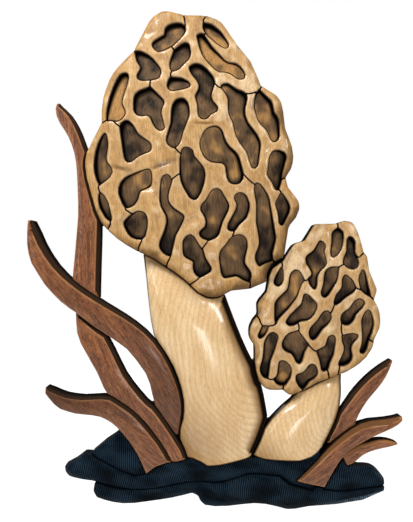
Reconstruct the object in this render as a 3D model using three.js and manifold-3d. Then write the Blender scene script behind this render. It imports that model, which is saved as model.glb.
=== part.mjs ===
// Wooden intarsia wall plaque of two morels with blades of grass on dark ground.
//
// Every outline is written on a full-size pattern sheet, in millimetres to the right of
// and below the sheet's top left corner. Heights are millimetres in front of the wall.
// The finished group stands up: +X is to the right, +Z is up, the front faces -Y, the
// back lies in the plane y = 0, and the origin is the point on the back over the nail.

import * as THREE from 'three';
import { mergeVertices } from 'three/addons/utils/BufferGeometryUtils.js';
import Module from 'manifold-3d';

const wasm = await Module();
wasm.setup();

// ---------- driving dimensions, mm ----------

const boardThickness = 6;         // plywood backing
const glueLine = 0.3;             // between the backing and what is glued on it
const joint = 0.3;                // between neighbouring pieces
const foot = boardThickness + glueLine;
const stock = 19;                 // three-quarter-inch boards for the fretted caps
const kerf = 0.6;                 // saw cuts that lead from one pit to the next
const pitGap = 0.35;              // closest fit of an insert in its pit
const pitSlack = 0.45;            // further room that an insert leaves on its deep side
const insertSink = 1.6;           // insert below the net on its shallow side
const insertDip = 5.2;            // further down on its deep side
const rimRound = 2.4;             // rounding of a cap's outer rim, seen from the front
const pitRound = 1.5;             // rounding of the net's edge over a pit
const roundDepth = 2.2;           // depth of both roundings
const hangPoint = [203, 92];      // the nail, on the pattern sheet
const curveStep = 1.2;            // spacing of the points on a curve before thinning
const curveTolerance = 0.4;       // how far a thinned outline may leave its curve

// A point marked CORNER keeps a sharp corner, and every other point is passed smoothly.
const CORNER = 1;

// ---------- the large cap ----------

const largeCap = {
  crown: [190, 150],
  reach: [112, 150],
  crownHeight: foot + stock + 2,
  fall: 4.5,
  dipAwayFrom: [195, 150],
  outline: [
    [161, 11.2], [169, 11], [176, 12.5], [183, 14.8], [194, 15], [205, 15], [213, 18],
    [221, 22], [225.5, 27.5], [231, 36], [236.5, 44.5], [243, 52.5], [250, 60.5], [253.5, 67],
    [257, 76], [261, 85], [268, 90], [276, 95], [281, 101.5], [283.5, 110], [284.5, 121],
    [286.5, 131], [290.5, 141], [293, 149], [294, 158], [292, 167], [288, 174],
    [285.7, 177.5, CORNER], [288, 186.5], [294, 194], [299, 201], [300.3, 208], [297.5, 216],
    [290, 225.5], [288.3, 234], [286.5, 246], [285, 255.5], [281, 258.6], [277, 260.6],
    [273, 262.8], [270.3, 266.5], [267.8, 273], [267, 281.5, CORNER], [259, 285.2],
    [250.5, 288.6], [240, 289.8], [231, 290.6], [224.5, 294.3], [216, 297.3], [207, 296.7],
    [199, 292.5], [192, 286], [184, 278.6], [174, 271.2], [163, 264], [153, 257.8],
    [143.5, 253.8], [132, 248], [120, 240.3], [110, 231.8], [102, 223.5], [97.3, 214],
    [93.6, 203], [90.6, 191], [87.3, 180], [85.2, 170], [85, 161], [86.3, 153.5],
    [89, 147.5], [92.6, 140], [97, 132], [101.6, 123, CORNER], [101.8, 112], [103, 101],
    [104.8, 92], [109, 81], [112, 75], [119, 66], [127, 57.8], [134, 50.4, CORNER],
    [140, 38], [144.8, 29], [147.8, 23], [151, 18.5], [155.5, 14.5],
  ],
  pits: {
    p01: [[165, 29], [168.5, 25], [175, 22.8], [181, 23], [185, 26.5], [186, 30.5], [182.5, 37],
      [177, 43], [170, 48], [163, 51.5], [157.5, 52.5], [154, 49.5], [152, 45], [154.5, 41],
      [160, 37.5], [164.3, 35.2]],
    p02: [[203, 22.8, CORNER], [209, 23.5], [215, 26.8], [221, 32], [226, 39.5], [228.8, 45.5],
      [227.5, 48.5], [224.5, 49], [218.5, 45.5], [212, 40], [205.8, 34], [202.8, 28.5]],
    p03: [[196.5, 36], [199.5, 33.8], [203.2, 33.8], [205.5, 37.3], [209, 43], [214.5, 50],
      [220.5, 56.3], [226, 61.3], [230, 63], [235, 63.5], [239.5, 66], [243, 70.5],
      [245, 75.5], [243.8, 79.2], [240, 80.2], [236, 78.8], [231.5, 75], [226, 73],
      [219.5, 73.2], [214, 69.5], [208, 63], [203, 57], [200, 50], [198, 42]],
    p04: [[174.3, 50, CORNER], [177.5, 47], [181, 44.3], [185.5, 42.8], [189, 44.5],
      [190.6, 49], [191, 54], [189, 60], [184, 64.5], [180, 69.5], [175.5, 72], [172, 72],
      [170, 69], [170, 63], [172.3, 56]],
    p05: [[134.6, 50.9, CORNER], [140, 51.2], [146, 53.8], [152, 58], [157, 64], [161, 70],
      [161.3, 74], [159.5, 78.5], [155, 80.3], [148, 80.7], [142, 81.3], [138.3, 80],
      [137.3, 77], [138.3, 73], [140.8, 69.5], [140.6, 67], [138.2, 63.8], [136, 58]],
    p06: [[170.2, 78.3], [168.3, 81.5], [167.3, 85.5], [168, 89], [171, 91.3], [175.5, 91.6],
      [181, 90.6], [186.5, 89], [190.5, 87], [190, 84], [187, 81.2], [182.5, 79], [176, 78.2]],
    p07: [[124, 73], [127.3, 73.3], [129.2, 76], [128.5, 82], [126, 90], [123.3, 98],
      [122.6, 104], [125, 109], [125.6, 114.5], [122.5, 119.2], [117.5, 121.6], [112.5, 120.8],
      [107, 120.9, CORNER], [107, 112], [108.6, 103.5], [111, 94], [114.5, 84.5],
      [118, 77.7], [121, 74.2]],
    p08: [[150.5, 87, CORNER], [145, 89.2], [138, 92], [135, 95.3], [134, 101], [133.6, 108],
      [135, 113], [138.3, 116], [143, 117], [148, 116.2], [150.8, 118.5], [153, 124],
      [156, 128.5], [160, 131.4], [163.6, 130.6], [165, 127.5], [163, 121], [161.6, 115],
      [162.3, 109], [164.7, 104], [163.8, 100.6], [160, 96.8], [155, 92]],
    p09: [[189, 68.3], [191.5, 65.5], [196, 64], [200.5, 65], [205.5, 68.5], [210.5, 73.5],
      [213.8, 78.5], [215, 84], [213, 90], [211.3, 96], [212.3, 101], [215.3, 104.6],
      [218, 108.5], [217, 112.3], [213.6, 113.6], [210.4, 115.4], [207.3, 119.3],
      [203.5, 120.2], [199.6, 118.4], [198, 114], [197.8, 107], [196.3, 101], [195.2, 96.3],
      [197.2, 92.3], [199, 88.3], [198, 83.5], [195, 79], [191, 74]],
    p10: [[220.5, 87], [223.5, 84.3], [228, 84], [232.5, 87], [238, 90.3], [243, 92],
      [246.6, 94.8], [247, 100], [245.5, 105.5], [244.6, 112], [245.6, 118], [248.3, 123.7],
      [253.3, 130], [258, 136.6], [260.5, 143.5], [259.6, 151], [258.6, 158], [258, 164.5],
      [255.3, 168.3], [251.5, 168], [249.8, 163.5], [248, 157], [245.8, 151.5], [241.8, 146.6],
      [237.5, 140], [234.8, 133.5], [233.4, 127], [232, 121.5], [229, 116.3], [227.9, 109],
      [228, 101], [226.3, 95.6], [222.8, 91]],
    p11: [[258.8, 89.3, CORNER], [262.3, 92.2], [267, 96.8], [271.3, 101], [273, 106.3],
      [274, 112], [277.3, 116.8], [279, 122], [279, 130], [279.4, 136.4], [277.4, 140.4],
      [273.6, 142], [270.4, 139.4], [268.5, 134], [265.8, 130], [261.6, 126.5], [257.5, 119.8],
      [255.3, 113], [254, 106], [254.3, 99], [255.8, 93.6]],
    p12: [[180.5, 98.7], [184.8, 99.6], [188, 103.3], [189.6, 110], [189.4, 116.5],
      [187, 123.3], [184.2, 130], [182, 137], [180.4, 143], [178, 146.6], [174.5, 148.8],
      [171, 147.6], [168, 145], [166.5, 141], [167.2, 136], [169.6, 129], [171.4, 121],
      [171.5, 113], [172.6, 106], [175.3, 101.2]],
    p13: [[120.5, 125], [123.5, 121.5], [127.6, 120.5], [131.2, 122.6], [134.6, 127],
      [137.2, 132.4], [140.4, 136], [145, 139], [149, 141.5], [151.6, 145], [152, 149.4],
      [150, 152], [145, 153.8], [139, 156.5], [135, 160], [131, 162.3], [127.4, 162],
      [125, 158.6], [123.5, 151], [122.3, 142], [121, 134]],
    p14: [[215, 126.5], [219.6, 128], [222.5, 132], [224.2, 138], [226.4, 143], [230.3, 147.8],
      [235.3, 152], [238.6, 157], [240.6, 163], [242, 169], [243.5, 174.5], [242.5, 180],
      [239.5, 183.2], [234.5, 184.4], [229.7, 183], [227, 179], [225.6, 172], [225, 166],
      [222, 163.6], [217, 163], [211.5, 162.5], [206, 159.5], [202.5, 154.5], [200.4, 149],
      [200, 143], [201.6, 137], [205, 131], [209.6, 127.6]],
    p15: [[105.5, 132.8], [107.3, 136], [108.4, 144], [107.6, 151], [106.5, 157], [107.8, 162.5],
      [111, 166.5], [113, 171], [110.5, 177], [105, 181], [99.7, 185.2, CORNER], [97.4, 181],
      [95.2, 174], [94.2, 166], [94.6, 158], [96, 150.5], [98.4, 143.5], [101.6, 137]],
    p16: [[100, 192.2], [103.8, 194.6], [107.3, 199.5], [109.8, 206], [111.2, 213],
      [112, 218], [111, 221], [107.3, 219], [103, 213.5], [100, 207], [98.6, 200],
      [98.7, 194.6]],
    p17: [[148.3, 169.3], [151.2, 170.8], [152.5, 176], [152.3, 182], [150.3, 186.2],
      [145, 189], [140.8, 191.3], [139.6, 195], [138.4, 199.6], [135.8, 203.5], [132, 206.5],
      [127.3, 208], [124.3, 206], [121.3, 200], [119, 194], [119, 188], [121, 182.3],
      [125.5, 177.5], [132, 174.2], [140, 171.5]],
    p18: [[133, 213.2], [137, 211.2], [141.3, 211], [145.2, 213], [147.5, 217], [148, 223],
      [147, 230], [144.8, 237], [141, 239], [135.5, 238.6], [130.5, 236], [127, 231.5],
      [124.5, 226], [124, 222], [127.5, 217.5]],
    p19: [[162, 178], [165.3, 175], [168.6, 175], [171.2, 178], [172.4, 181.5], [170.5, 187],
      [168.9, 193], [168.6, 199], [170.2, 204], [174, 208], [180, 212], [184.3, 215.6],
      [184, 219.4], [181, 225.4], [177, 232.3], [174.5, 240], [173, 249],
      [171.2, 256, CORNER], [166, 254.5], [161.6, 250.7], [159.5, 246], [160.2, 240.6],
      [163, 234.5], [165.3, 228], [167, 221.4], [166.4, 216], [163, 210], [160.3, 203],
      [160, 195], [160.6, 186]],
    p20: [[184.5, 147.7], [189.5, 148.5], [193, 151], [194, 155.5], [197, 160.3],
      [200.8, 164.5], [204, 168.5], [205.2, 174], [204.6, 181], [202.8, 188], [200, 194.5],
      [197.3, 198.7], [194, 200], [190, 198], [186.7, 192.8], [182.8, 186], [180.6, 179],
      [179.9, 170], [179.9, 161], [181, 154], [182.3, 149.6]],
    p21: [[213, 189.5], [217.6, 188.6], [220.8, 190.5], [223.2, 195], [226.6, 200], [229, 205],
      [228.5, 209.4], [226, 214.4], [223, 220.4], [221, 227], [219.4, 233], [215.8, 237.5],
      [210, 240], [204.5, 239.2], [200.6, 236.4], [199, 232.6], [201, 229.8], [204.6, 227],
      [206, 222], [205, 217.5], [202, 213], [200.4, 208], [202, 204], [206, 200],
      [208.7, 195]],
    p22: [[234, 197], [236, 194], [240, 192.4], [244.8, 194.4], [248, 199], [249.6, 205],
      [248.5, 212], [246, 218], [241.3, 222.4], [237.7, 226], [235, 230.3], [231.5, 231],
      [228, 229.5], [227.4, 226], [229.5, 220], [233, 214], [236, 208.3], [236.6, 203.6],
      [234.8, 200.4]],
    p23: [[256, 182.8], [259.6, 183.8], [262.7, 187.2], [266.2, 192.3], [269, 198.3],
      [270.2, 206], [271.6, 214], [273.2, 223], [275.2, 231], [276, 238], [274.2, 246],
      [272.6, 253], [273.4, 260, CORNER], [270, 261.4], [266, 262.6], [262.5, 264.6],
      [259.2, 266], [257, 263.6], [255.3, 259.5], [255.2, 254.5], [257.4, 249.5],
      [259.2, 243], [258.8, 235.6], [257, 228.5], [256, 220], [256.3, 212], [256.3, 205],
      [255, 198], [254, 191], [254.2, 186]],
    p24: [[276, 150], [281, 150.6], [285, 153], [286.4, 157], [285, 162.4], [283.5, 168],
      [282, 174], [281.8, 179], [280.4, 184.5], [279, 189.5], [276.4, 190], [273.8, 187],
      [271.8, 182.4], [269, 178.6], [267, 174], [267.5, 168], [268.5, 161], [269.6, 155.3],
      [272.3, 151.4]],
    p25: [[281.2, 192.6], [284.6, 196], [288, 201], [290.2, 206], [289.7, 211], [287, 216],
      [285, 221], [283.4, 224.5], [281, 225.2], [278.8, 222.8], [278.2, 217.5], [277.8, 212],
      [276, 207.3], [275.4, 203], [277.7, 198]],
    p26: [[190.5, 234], [194, 236.2], [197, 241], [200, 246], [203.4, 250], [204.5, 255],
      [207, 260.3], [210.5, 265], [211.7, 268.6], [210, 271.6], [205.5, 274.4], [200.5, 277],
      [196.5, 275.2], [194, 271.6], [192.8, 266], [193.2, 261.4], [190, 259.3], [186, 257.3],
      [183.5, 254], [183, 247], [183.3, 240], [186.3, 235.8]],
    p27: [[235, 235], [240.6, 234.3], [244.7, 236.6], [247.3, 242], [247, 249], [245.2, 256],
      [244.7, 262], [247.5, 267], [250.8, 271.5], [251.5, 276], [250, 282, CORNER],
      [244.5, 280.3], [240, 277.3], [236, 275.6], [230, 276.5], [224.5, 277.8], [221.6, 274],
      [220, 265], [219, 255], [221, 249.5], [226, 244], [230, 238]],
  },
  kerfs: [
    [[182.3, 12], [184.5, 19], [185.4, 25], [184.5, 29]],
    [[207, 12.5], [205.4, 17.5], [203, 21], [205, 25]],
    [[206.5, 32.5], [204.5, 34.8], [203.5, 38]],
    [[170.5, 46], [172.5, 48.4], [175.5, 52]],
    [[131.8, 48.5], [136.5, 53]],
    [[151.6, 78.5], [151, 82], [150.3, 85], [150.4, 90]],
    [[173, 70.5], [171, 75], [171, 80]],
    [[213.3, 83], [217, 87.4], [219.4, 88.8], [223, 88.4]],
    [[244.5, 94], [249, 94.8], [253, 93.8], [258.4, 91.8]],
    [[258.4, 92], [261, 87.4], [263, 84.5]],
    [[99, 123.7], [104, 122.6], [109, 119]],
    [[112, 119], [114.4, 121.9], [117.4, 125], [122.5, 128.3]],
    [[174.3, 147], [177.2, 151], [182, 155.3]],
    [[181.5, 173.6], [178, 175.4], [175, 177.6], [170.5, 181]],
    [[241.5, 172.5], [244.2, 175.6], [248.2, 180], [253, 183.8], [257, 185.5]],
    [[280.5, 179.4], [284, 178], [288.5, 175.6]],
    [[277.6, 187.8], [280, 191], [282.3, 195]],
    [[99.8, 183.5], [98.7, 187.6], [99.6, 190.6], [102, 195]],
    [[110.8, 218.5], [110.6, 224], [108.7, 228], [106, 233]],
    [[125.2, 205.5], [126.2, 209.6], [129.8, 212], [134, 214.6]],
    [[143.3, 236], [142, 241], [139.8, 245], [137.6, 254]],
    [[171, 253.6], [170, 258], [168, 261.4], [166, 268.5]],
    [[209.4, 238.4], [206.4, 243], [203.6, 246.4], [201.5, 249.5]],
    [[200.4, 275.6], [197.5, 279], [193.4, 281.8], [188, 286]],
    [[234, 229], [233.8, 232.4], [232.4, 235.4], [234.5, 238]],
    [[250.3, 279.5], [250.3, 284], [250.4, 292]],
    [[272.6, 258.6], [275, 262], [277, 265]],
  ],
};

// ---------- the small cap ----------

const smallCap = {
  crown: [314, 304],
  reach: [68, 90],
  crownHeight: foot + stock + 1,
  fall: 4.5,
  dipAwayFrom: [352, 262],
  outline: [
    [315, 223.4, CORNER], [326, 222.8], [337.5, 222.8], [341, 221], [346, 219.9], [353, 221.6],
    [355.8, 226], [359.4, 234], [362, 243], [364.3, 251.3, CORNER], [367.4, 255.3], [368.6, 262],
    [369.2, 270], [372.5, 277], [375.6, 284], [377.4, 289.5], [376, 295],
    [374.6, 299.8, CORNER], [377.2, 305], [380, 311.5], [381, 319.5], [380.4, 328],
    [377.6, 335], [374.6, 341.6], [373.5, 347.5], [370, 354], [365.6, 359.4], [358, 365.8],
    [349, 370.8], [341, 374.4], [329.5, 378.4], [318, 382.6], [306, 389.4], [298, 393.4],
    [291.5, 395.8], [287.6, 394.2], [283.6, 390.4], [275.5, 390.8], [268, 390],
    [263, 386.6], [259.6, 382], [257, 374], [255.2, 364], [254.6, 353], [254.6, 345.3],
    [251, 341], [249.5, 335.5], [250.2, 326.5], [253.6, 319.6], [258, 314.4],
    [257.6, 303.6], [261.3, 297.4], [266.5, 291.6], [268.2, 284], [269.6, 274.6],
    [273, 268], [278, 264.6], [283.4, 260.4], [286.6, 254.8], [290.4, 248.4],
    [294.6, 243.4], [304.6, 240, CORNER], [309.8, 231.6],
  ],
  pits: {
    s01: [[338, 227, CORNER], [341.2, 229], [343.6, 231.6], [344, 235.4], [343, 241.4],
      [341.8, 247], [339, 252.2], [336, 255.5], [333, 257], [330.8, 256], [329.8, 253],
      [330.5, 248], [331.5, 242], [331.5, 236], [332.2, 231.8], [334.6, 229]],
    s02: [[350, 235.5], [353.6, 237.5], [355.6, 241.4], [355.5, 247], [355.2, 252],
      [357, 257], [358.8, 261.6], [357, 267], [352.5, 269], [348, 267.7], [344.6, 265.2],
      [342.3, 262], [343.2, 257.4], [346, 252], [346.6, 245], [347, 239]],
    s03: [[320, 240], [324, 242.4], [325.3, 246], [323.6, 250.5], [324.6, 256], [326, 262],
      [324.3, 266], [319.3, 271], [316.7, 276.4], [316.5, 283], [314.5, 288.8], [311, 287],
      [308, 281.3], [307.4, 277.7], [310.4, 275.3], [311.3, 272.6], [309, 268], [305.6, 262.2],
      [305, 258], [307.2, 254.4], [311, 252], [314.4, 248.6], [317, 243.6]],
    s04: [[331, 266.2], [338.5, 266.3, CORNER], [337.8, 273], [336, 281], [332.6, 286],
      [330, 291.4], [324.6, 297], [321.2, 295.6], [320, 291.2], [322, 286], [323.3, 280],
      [323.6, 274], [326, 268.8]],
    s05: [[344.6, 274], [348, 276], [352, 279.6], [354.6, 284], [355.8, 287.8], [353, 291.6],
      [348.2, 294.6], [344, 297.6], [340, 301.5], [335.6, 304.4], [333, 303], [333.6, 298],
      [335.8, 293], [340, 288.5], [341.5, 284.6], [341.6, 279]],
    s06: [[362.4, 269], [364.6, 270.8], [366, 277], [368, 284], [370, 291], [371, 297, CORNER],
      [367.8, 295.4], [364, 292.6], [360.6, 289.4], [359.4, 285], [358.2, 279.4],
      [359.6, 273.6]],
    s07: [[281, 266.6], [282.6, 268.6], [283.2, 274], [283, 279.4], [281, 284], [277.5, 286],
      [274.5, 284.5], [273.6, 280.6], [275.2, 276], [278, 271]],
    s08: [[295, 269], [299, 270.6], [301.6, 275], [304, 279.6, CORNER], [301, 283.4],
      [298.6, 289], [296.4, 296], [292.5, 302], [287, 309], [281, 315], [277.3, 320],
      [275.5, 324.6, CORNER], [274.2, 318], [274.3, 310], [274.4, 303.4], [277, 298.4],
      [282, 293.5], [286.4, 289.5], [288.2, 284], [289, 277], [291, 271.6]],
    s09: [[304, 293], [308, 294.4], [312.6, 299], [316.4, 304], [315, 310], [311.6, 316],
      [307, 319.4], [301, 320.2], [297.6, 322], [293.5, 324.6], [288.5, 325], [285.2, 322],
      [286.6, 318], [290.5, 313], [296, 307.5], [300.4, 303], [302, 297]],
    s10: [[325, 309.8], [329, 311.4], [330.6, 315], [329.5, 320], [326, 324.5], [322.2, 327.6],
      [319, 332], [316, 337], [312.5, 339.4], [309.6, 337.5], [308.2, 332.5], [309.2, 327.6],
      [313, 323], [317, 319], [319.8, 314]],
    s11: [[358, 298], [362, 299], [364.7, 301.7], [363, 306], [359, 310.5], [355.4, 314],
      [354, 318], [351.4, 322], [347.4, 324.5], [343, 324], [340.2, 321], [340, 316],
      [342.2, 312], [346.5, 309.4], [350.2, 305.5], [353.4, 300.6]],
    s12: [[368, 309], [370.7, 311.2], [373, 317], [374, 324], [372.2, 332], [369.6, 338],
      [368.2, 344], [366.5, 350], [363.5, 353.5], [360.2, 352.4], [359.7, 349.4],
      [361.2, 344.6], [362, 338], [362, 331], [361.2, 325], [361.7, 318], [364.5, 312]],
    s13: [[341, 334.8, CORNER], [348, 333], [355, 333], [358, 334.6], [355.6, 339.6],
      [351.8, 344], [351, 349.6], [352.4, 354], [352, 359], [348.5, 363.4], [343, 365.4],
      [338, 364.4], [338.7, 360.7], [341.6, 355.4], [343.6, 350], [343.7, 346],
      [341.8, 341]],
    s14: [[331.5, 334], [334.4, 336], [334.8, 342], [334, 349], [332.4, 356], [329.6, 362],
      [328.2, 368], [325.3, 370.6], [322.5, 370.8], [320.6, 367.4], [319.4, 360],
      [317.2, 353.5], [315.6, 349.8, CORNER], [320, 347.4], [324.3, 345.3], [326, 341],
      [327.6, 336]],
    s15: [[297.6, 329.5, CORNER], [300.6, 334], [305, 339.5], [308.3, 343.6, CORNER],
      [305, 349], [303, 355], [301.8, 360.5], [299, 363.4], [296, 361.5], [294, 357],
      [290.7, 352.5], [286, 350.8], [282.6, 347.6], [281.8, 343], [284, 337],
      [287.6, 332.6], [292.5, 330.6]],
    s16: [[262.4, 325, CORNER], [268.8, 325, CORNER], [266.4, 332], [263.5, 336.5],
      [260, 338.4], [257.9, 336.4], [258.7, 332.6]],
    s17: [[271.6, 331.6], [275.6, 332.6], [278, 335.6], [277, 341], [275, 348], [273, 354],
      [270.6, 360], [269.4, 367], [269.2, 373], [267.6, 378.6], [264.6, 378], [261.4, 374],
      [260.2, 369], [261.8, 362], [263, 356], [263.2, 349], [264.2, 342], [267, 336]],
    s18: [[279.5, 360.6], [284, 360], [288.4, 363], [291, 368], [291.3, 374], [289.4, 380],
      [286, 385, CORNER], [280, 385.4], [276, 383], [273.4, 379, CORNER], [276.5, 376],
      [278, 372], [278.4, 366]],
    s19: [[311.5, 363], [315, 364.6], [317.4, 369], [317.4, 374], [314, 378], [310, 380.5],
      [307, 384.4], [304, 389.3], [301, 388.5], [297.6, 383.5], [295.6, 377.6], [297, 373.6],
      [301.5, 372.4], [305.5, 369], [308.2, 364.6]],
  },
  kerfs: [
    [[338, 229], [337.8, 225.6], [337.4, 220]],
    [[354.4, 252], [358.4, 257.4], [361, 254.6], [366, 250]],
    [[344.4, 262.6], [341, 264.8], [338, 266.4], [336.5, 268.6]],
    [[354.4, 286], [357.4, 288.4], [360, 289], [362, 289.6]],
    [[334.6, 302.4], [332.6, 306], [331.2, 310.4], [329, 313.6]],
    [[370, 295.4], [372.3, 298.2], [377, 300.6]],
    [[302.6, 279], [305, 280.2], [307, 279], [309.4, 278.4]],
    [[275.6, 322], [274, 324.3], [270, 324.8], [267, 326.4]],
    [[263.6, 326.4], [260.8, 322.8], [258.8, 317.5], [255, 313]],
    [[296.6, 320.6], [298, 324], [298.3, 327.4], [297.8, 332]],
    [[307, 342], [309.6, 346], [313, 349.2], [318, 351]],
    [[327.2, 367.6], [327.8, 372], [329, 377], [330, 382]],
    [[340.8, 321.5], [340, 327], [340.5, 331], [342.4, 336.4]],
    [[368.4, 338.2], [371, 340.4], [377, 343.4]],
    [[267, 377], [270, 379.4], [273, 378.8], [275.6, 380]],
    [[284.4, 383.6], [283.4, 387], [281.6, 394]],
    [[281.4, 269], [282, 265], [281.4, 258]],
    [[302.4, 387], [303, 391], [303.4, 396]],
    [[339.6, 363.4], [338.6, 368], [337.4, 379]],
  ],
};

// ---------- stems, grass and ground ----------

// Each is a strip between two edges that run the same way. "edge" is the height where
// the rounded face meets the side wall, and "crown" how far the middle stands above it,
// each given at the strip's start and end.

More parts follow.
